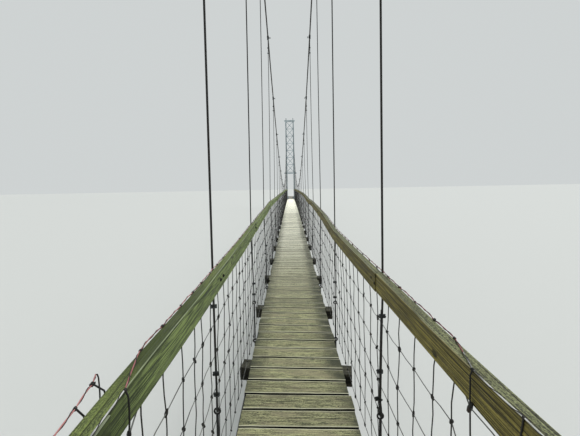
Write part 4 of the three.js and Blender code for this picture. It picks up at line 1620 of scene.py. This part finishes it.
# Where a cable leaves its saddle: that place, its slope there and the middle of the saddle's round
def saddleLine():
    leave = halfSpan - saddle["radius"] * math.sin(math.atan(2 * bridge["cableCurve"] * halfSpan))
    angle = math.atan(2 * bridge["cableCurve"] * leave)
    middle = leave + saddle["radius"] * math.sin(angle)
    return leave, angle, middle, cableZ(leave) - saddle["radius"] * math.cos(angle)


# Points round the saddle from one slope to the other
def saddleArc(radius, start, stop, steps):
    middle, centreZ = saddleLine()[2:]
    turns = [start + (stop - start) * i / steps for i in range(steps + 1)]
    return [(middle + radius * math.sin(turn), centreZ + radius * math.cos(turn)) for turn in turns]


def buildMainCables():
    leave, angle = saddleLine()[:2]
    half = [(y, cableZ(y)) for y in np.linspace(0.2, leave - 0.05, 120)]
    half += saddleArc(saddle["radius"], -angle, backstayAngle, saddle["steps"])
    startY, startZ = half[-1]
    run = realBox("right_main_cable")[1].y - bridge["cableRadius"] * math.sin(backstayAngle) - startY
    half += [(startY + run * share, startZ - run * share) for share in np.linspace(0, 1, 25)[1:]]
    line = [(-y, z) for y, z in reversed(half)] + half
    for side, sign in sideSigns.items():
        shape = sweep([(sign * cableX, y, z) for y, z in line], roundSection(bridge["cableRadius"], 12))
        makePiece(side + "_main_rope", [shape], mainRope, "wire_rope", side + "_main_cable")
    print("main cables: 2")
    return half[-1]


# The rounding of the CAD parts' edges and its steps
softEdges = {
    "leg": (0.010, 3),
    "saddle": (0.003, 2),
    "beam": (0.006, 2),
    "bracing": (0.002, 1),
    "concrete": (0.018, 2),
}


# A CAD node's shape with softened edges and its own finish
def softened(node, name, kind, material=towerSteel, slot="galvanised_steel"):
    width, segments = softEdges[kind]
    mesh = bpy.data.meshes.new(name)
    shape = bmesh.new()
    shape.from_mesh(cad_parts[node].data)
    bmesh.ops.remove_doubles(shape, verts=shape.verts, dist=1e-5)
    bmesh.ops.dissolve_limit(shape, angle_limit=0.01, verts=shape.verts, edges=shape.edges)
    sharp = [edge for edge in shape.edges if edge.is_manifold and edge.calc_face_angle_signed(0) > 0.5]
    bmesh.ops.bevel(shape, geom=sharp, offset=width * modelScale, segments=segments, profile=0.6,
                    affect="EDGES", clamp_overlap=True)
    shape.to_mesh(mesh)
    shape.free()
    mesh.materials.clear()
    mesh.materials.append(material)
    for polygon in mesh.polygons:
        polygon.use_smooth = False
        polygon.material_index = 0
    finishPiece(addObject(name, mesh), slot, node, scale=1)


def buildTowerBodies():
    for end in endSigns:
        tower = end + "_tower_"
        for side in sideSigns:
            softened(tower + side + "_leg", tower + side + "_tube", "leg")
            softened(tower + side + "_saddle", tower + side + "_saddle_block", "saddle")
        softened(tower + "portal_beam", tower + "lower_beam", "beam")
        softened(tower + "head_beam", tower + "top_beam", "beam")
        softened(tower + "bracing", tower + "crossed_bars", "bracing")
        softened(end + "_footing", end + "_cast_footing", "concrete", grayConcrete, "concrete")
        softened(end + "_anchor_block", end + "_cast_anchor", "concrete", grayConcrete, "concrete")
    print("towers and concrete: 2 ends")


# A nut on its washer with the bolt's end, standing on a face along Z
def boltHead():
    return [
        tube((0, 0, 0), (0, 0, 0.004), 0.022, 12),
        tube((0, 0, 0.004), (0, 0, 0.036), 0.0095),
        plate(roundSection(0.0165, 6), (0, 0, 0.012), outX, alongY, 0.016),
    ]


towerFittings = {
    "basePlate": 0.02,
    "baseBolts": (0.11, 0.11),  # out from a leg's middle, along x and y
    "legHalf": 0.0635,
    "fin": [(0, 0), (0.07, 0), (0.07, 0.012), (0.012, 0.11), (0, 0.11)],
    "finThick": 0.010,
    "beamBolts": (0.03, 0.04),
    "panels": 7,
    "barEnd": (0.05, 0.055),  # from a bracing panel's corner in to its bolt
}
socketLook = {
    "radius": 0.02,
    # Distance from the block's face and width of the socket there
    "outline": [(0.46, 0.8), (0.44, 1.1), (0.40, 1.15), (0.20, 2.1), (0.18, 2.2), (0.05, 2.2), (0.02, 1.6)],
    "plate": 0.30,
    "plateThick": 0.02,
    "bolts": (0.11, 0.11),
}


def towerBolts(end, sign):
    low, high = realBox(end + "_tower_right_leg")
    beamLow, beamHigh = realBox(end + "_tower_portal_beam")
    bars, barsHigh = realBox(end + "_tower_bracing")
    beamFace, beamZ = beamHigh.y if sign < 0 else beamLow.y, (beamLow.z + beamHigh.z) / 2
    bolts = []
    for legSign in (-1, 1):
        x, y = legSign * (low.x + high.x) / 2, (low.y + high.y) / 2
        for dx, dy in fourOf(*towerFittings["baseBolts"]):
            bolts.append(((x + dx, y + dy, low.z + towerFittings["basePlate"]), (0.0, 0.0, 0.3), 1.0))
        for dx, dz in fourOf(*towerFittings["beamBolts"]):
            bolts.append(((x + dx, beamFace, beamZ + dz), (sign * math.pi / 2, 0.0, 0.0), 0.8))
    panelHigh = (barsHigh.z - bars.z) / towerFittings["panels"]
    inX, inZ = towerFittings["barEnd"]
    for i in range(towerFittings["panels"]):
        z = bars.z + panelHigh * (i + 0.5)
        for face, turn in ((barsHigh.y, -math.pi / 2), (bars.y, math.pi / 2)):
            bolts.append(((0, face, z), (turn, 0.0, 0.0), 0.7))
            for dx, dz in fourOf(barsHigh.x - inX, panelHigh / 2 - inZ):
                bolts.append(((dx, face, z + dz), (turn, 0.0, 0.0), 0.6))
    return bolts


# Fins at the legs' feet and the cheeks on both sides of each saddle
def towerPlates(end, sign):
    low, high = realBox(end + "_tower_right_leg")
    middle = (low + high) / 2
    angle = saddleLine()[1]
    plates = []
    for legSign in (-1, 1):
        foot = Vector((legSign * middle.x, middle.y, low.z + towerFittings["basePlate"]))
        for out in (outX, (-1, 0, 0), alongY, (0, -1, 0)):
            place = foot + Vector(out) * towerFittings["legHalf"]
            plates.append(plate(towerFittings["fin"], place, out, upZ, towerFittings["finThick"]))
    base = saddleLine()[3] + cheek["base"]
    arc = saddleArc(saddle["radius"] + cheek["rise"], -angle * 0.75, backstayAngle * 0.8, 12)
    outline = [(sign * y, z) for y, z in [(arc[0][0], base), *arc, (arc[-1][0], base)]]
    for legSign in (-1, 1):
        for cheekSign in (-1, 1):
            x = legSign * cableX + cheekSign * (cheek["gap"] + cheek["thick"] / 2)
            plates.append(plate(outline, (x, 0, 0), alongY, upZ, cheek["thick"]))
    return plates


# Sockets and plates where the cables meet the anchor block, and the places of their bolts
def anchorParts(sign, endY, endZ):
    steel, bolts = [], []
    direction = Vector((0, sign * math.cos(backstayAngle), -math.sin(backstayAngle)))
    upSlope = Vector((0, sign * math.sin(backstayAngle), math.cos(backstayAngle)))
    reaches, growth = zip(*socketLook["outline"])
    thick = socketLook["plateThick"]
    for legSign in (-1, 1):
        face = Vector((legSign * cableX, sign * endY, endZ))
        path = [face - direction * reach for reach in reaches]
        steel.append(sweep(path, roundSection(socketLook["radius"], 14), growth=growth))
        square = rectangle(socketLook["plate"], socketLook["plate"])
        steel.append(plate(square, face - direction * thick / 2, outX, upSlope, thick))
        for dx, along in fourOf(*socketLook["bolts"]):
            place = face + Vector((dx, 0, 0)) + upSlope * along - direction * thick
            bolts.append((place, (sign * backstayAngle, 0.0, 0.0), 1.0))
    return steel, bolts


def buildTowerFittings(cableEnd):
    for end, sign in endSigns.items():
        bolts = towerBolts(end, sign)
        copyPiece(end + "_tower_bolts", boltHead(), bolts, boltSteel, "galvanised_steel", smooth=False)
        makePiece(end + "_tower_plates", towerPlates(end, sign), towerSteel, "galvanised_steel", smooth=False)
        steel, bolts = anchorParts(sign, *cableEnd)
        makePiece(end + "_anchor_sockets", steel, boltSteel, "galvanised_steel")
        copyPiece(end + "_anchor_bolts", boltHead(), bolts, boltSteel, "galvanised_steel", smooth=False)
    print("tower and anchor fittings: 2 ends")


# Staples that hold the deck cable up against each cross timber
staple = {"clear": 0.003, "leg": 0.03, "rod": 0.003, "along": (-0.05, 0.05)}


def buildDeckStaples():
    radius = bridge["deckCableRadius"] + staple["clear"]
    bow = [(x, 0, z) for x, z in bowOf(radius, staple["leg"], 0.0, -radius, 8)]
    shapes = [sweep(bow, roundSection(staple["rod"], 5), side=alongY)]
    places = []
    for sign in sideSigns.values():
        for y in crossTimberPlaces():
            for shift in staple["along"]:
                z = float(deckTop(y + shift, sign * cableX)) - bridge["deckCableDepth"]
                places.append(((sign * cableX, y + shift, z), (0.0, 0.0, 0.0), 1.0))
    copyPiece("deck_cable_staples", shapes, places, forgedSteel, "galvanised_steel")
    print("staples:", len(places))


buildDeck()
buildFrame()
buildRails()
buildNets()
buildTopCords()
buildCordTies()
buildHangers()
buildClips()
buildHangerSteel()
buildRailBolts()
cableEnd = buildMainCables()
buildTowerBodies()
buildTowerFittings(cableEnd)
buildDeckStaples()

# Camera: the photograph's place, fitted to the deck, rails and cables
view = {
    "sideways": -0.0208,
    "deckHeight": 0.932,
    "aboveDeck": 1.544,
    "pitch": -4.2,
    "yaw": 0.1417,
    "roll": 1.0716,
    "focal": 436.0,  # in pixels of a picture 580 wide
    "width": 580,
}
camera = addObject("camera", bpy.data.cameras.new("camera"))
camera.data.sensor_width = 36.0
camera.data.lens = 36.0 * view["focal"] / view["width"]
camera.data.clip_end = 200
camera.location = Vector((view["sideways"], eyeY, view["deckHeight"] + view["aboveDeck"])) * modelScale
turns = ((view["yaw"], "Z"), (90 + view["pitch"], "X"), (-view["roll"], "Z"))
yaw, pitch, roll = [Matrix.Rotation(math.radians(angle), 4, axis) for angle, axis in turns]
camera.rotation_euler = (yaw @ pitch @ roll).to_euler()
bpy.context.scene.camera = camera

# Floor, world and lights, in the model's own size
studio = {
    "floor": (0.62, 0.63, 0.61, 1),
    "floorSize": 300,
    "sky": (0.86, 0.90, 0.90, 1),
    "skyStrength": 0.72,
    "sun": 1.7,
    "sunTurn": (35, 0, 140),
    "sunSize": 40,
    "opening": {"energy": 600.0, "wide": 6.0, "long": 14.0, "place": (1.0, 9.5, 9.0)},
}
floorMesh = bpy.data.meshes.new("floor")
floorCorners = [(x, y, 0) for x, y in rectangle(studio["floorSize"], studio["floorSize"])]
floorMesh.from_pydata(floorCorners, [], [(0, 1, 2, 3)])
floorMaterial, floorTree = startMaterial("floorPaint", roughness=0.9)
floorTree.nodes["Principled BSDF"].inputs["Base Color"].default_value = studio["floor"]
floorMesh.materials.append(floorMaterial)
floor = addObject("floor", floorMesh)

world = bpy.data.worlds.new("sky")
world.use_nodes = True
background = world.node_tree.nodes["Background"]
background.inputs["Color"].default_value = studio["sky"]
background.inputs["Strength"].default_value = studio["skyStrength"]
bpy.context.scene.world = world
sun = addObject("sun", bpy.data.lights.new("sun", "SUN"))
sun.data.energy = studio["sun"]
sun.data.angle = math.radians(studio["sunSize"])
sun.rotation_euler = [math.radians(turn) for turn in studio["sunTurn"]]
opening = addObject("opening", bpy.data.lights.new("opening", "AREA"))
opening.data.shape = "RECTANGLE"
opening.data.size, opening.data.size_y = studio["opening"]["wide"], studio["opening"]["long"]
opening.data.energy = studio["opening"]["energy"]
opening.location = studio["opening"]["place"]
walked = bpy.data.collections.new("walked")  # the light through the opening falls on these alone
for section in sections:
    walked.objects.link(bpy.data.objects[section + "_planks"])
opening.light_linking.receiver_collection = walked
bpy.context.scene.view_settings.view_transform = "Standard"
print("camera and lights done")
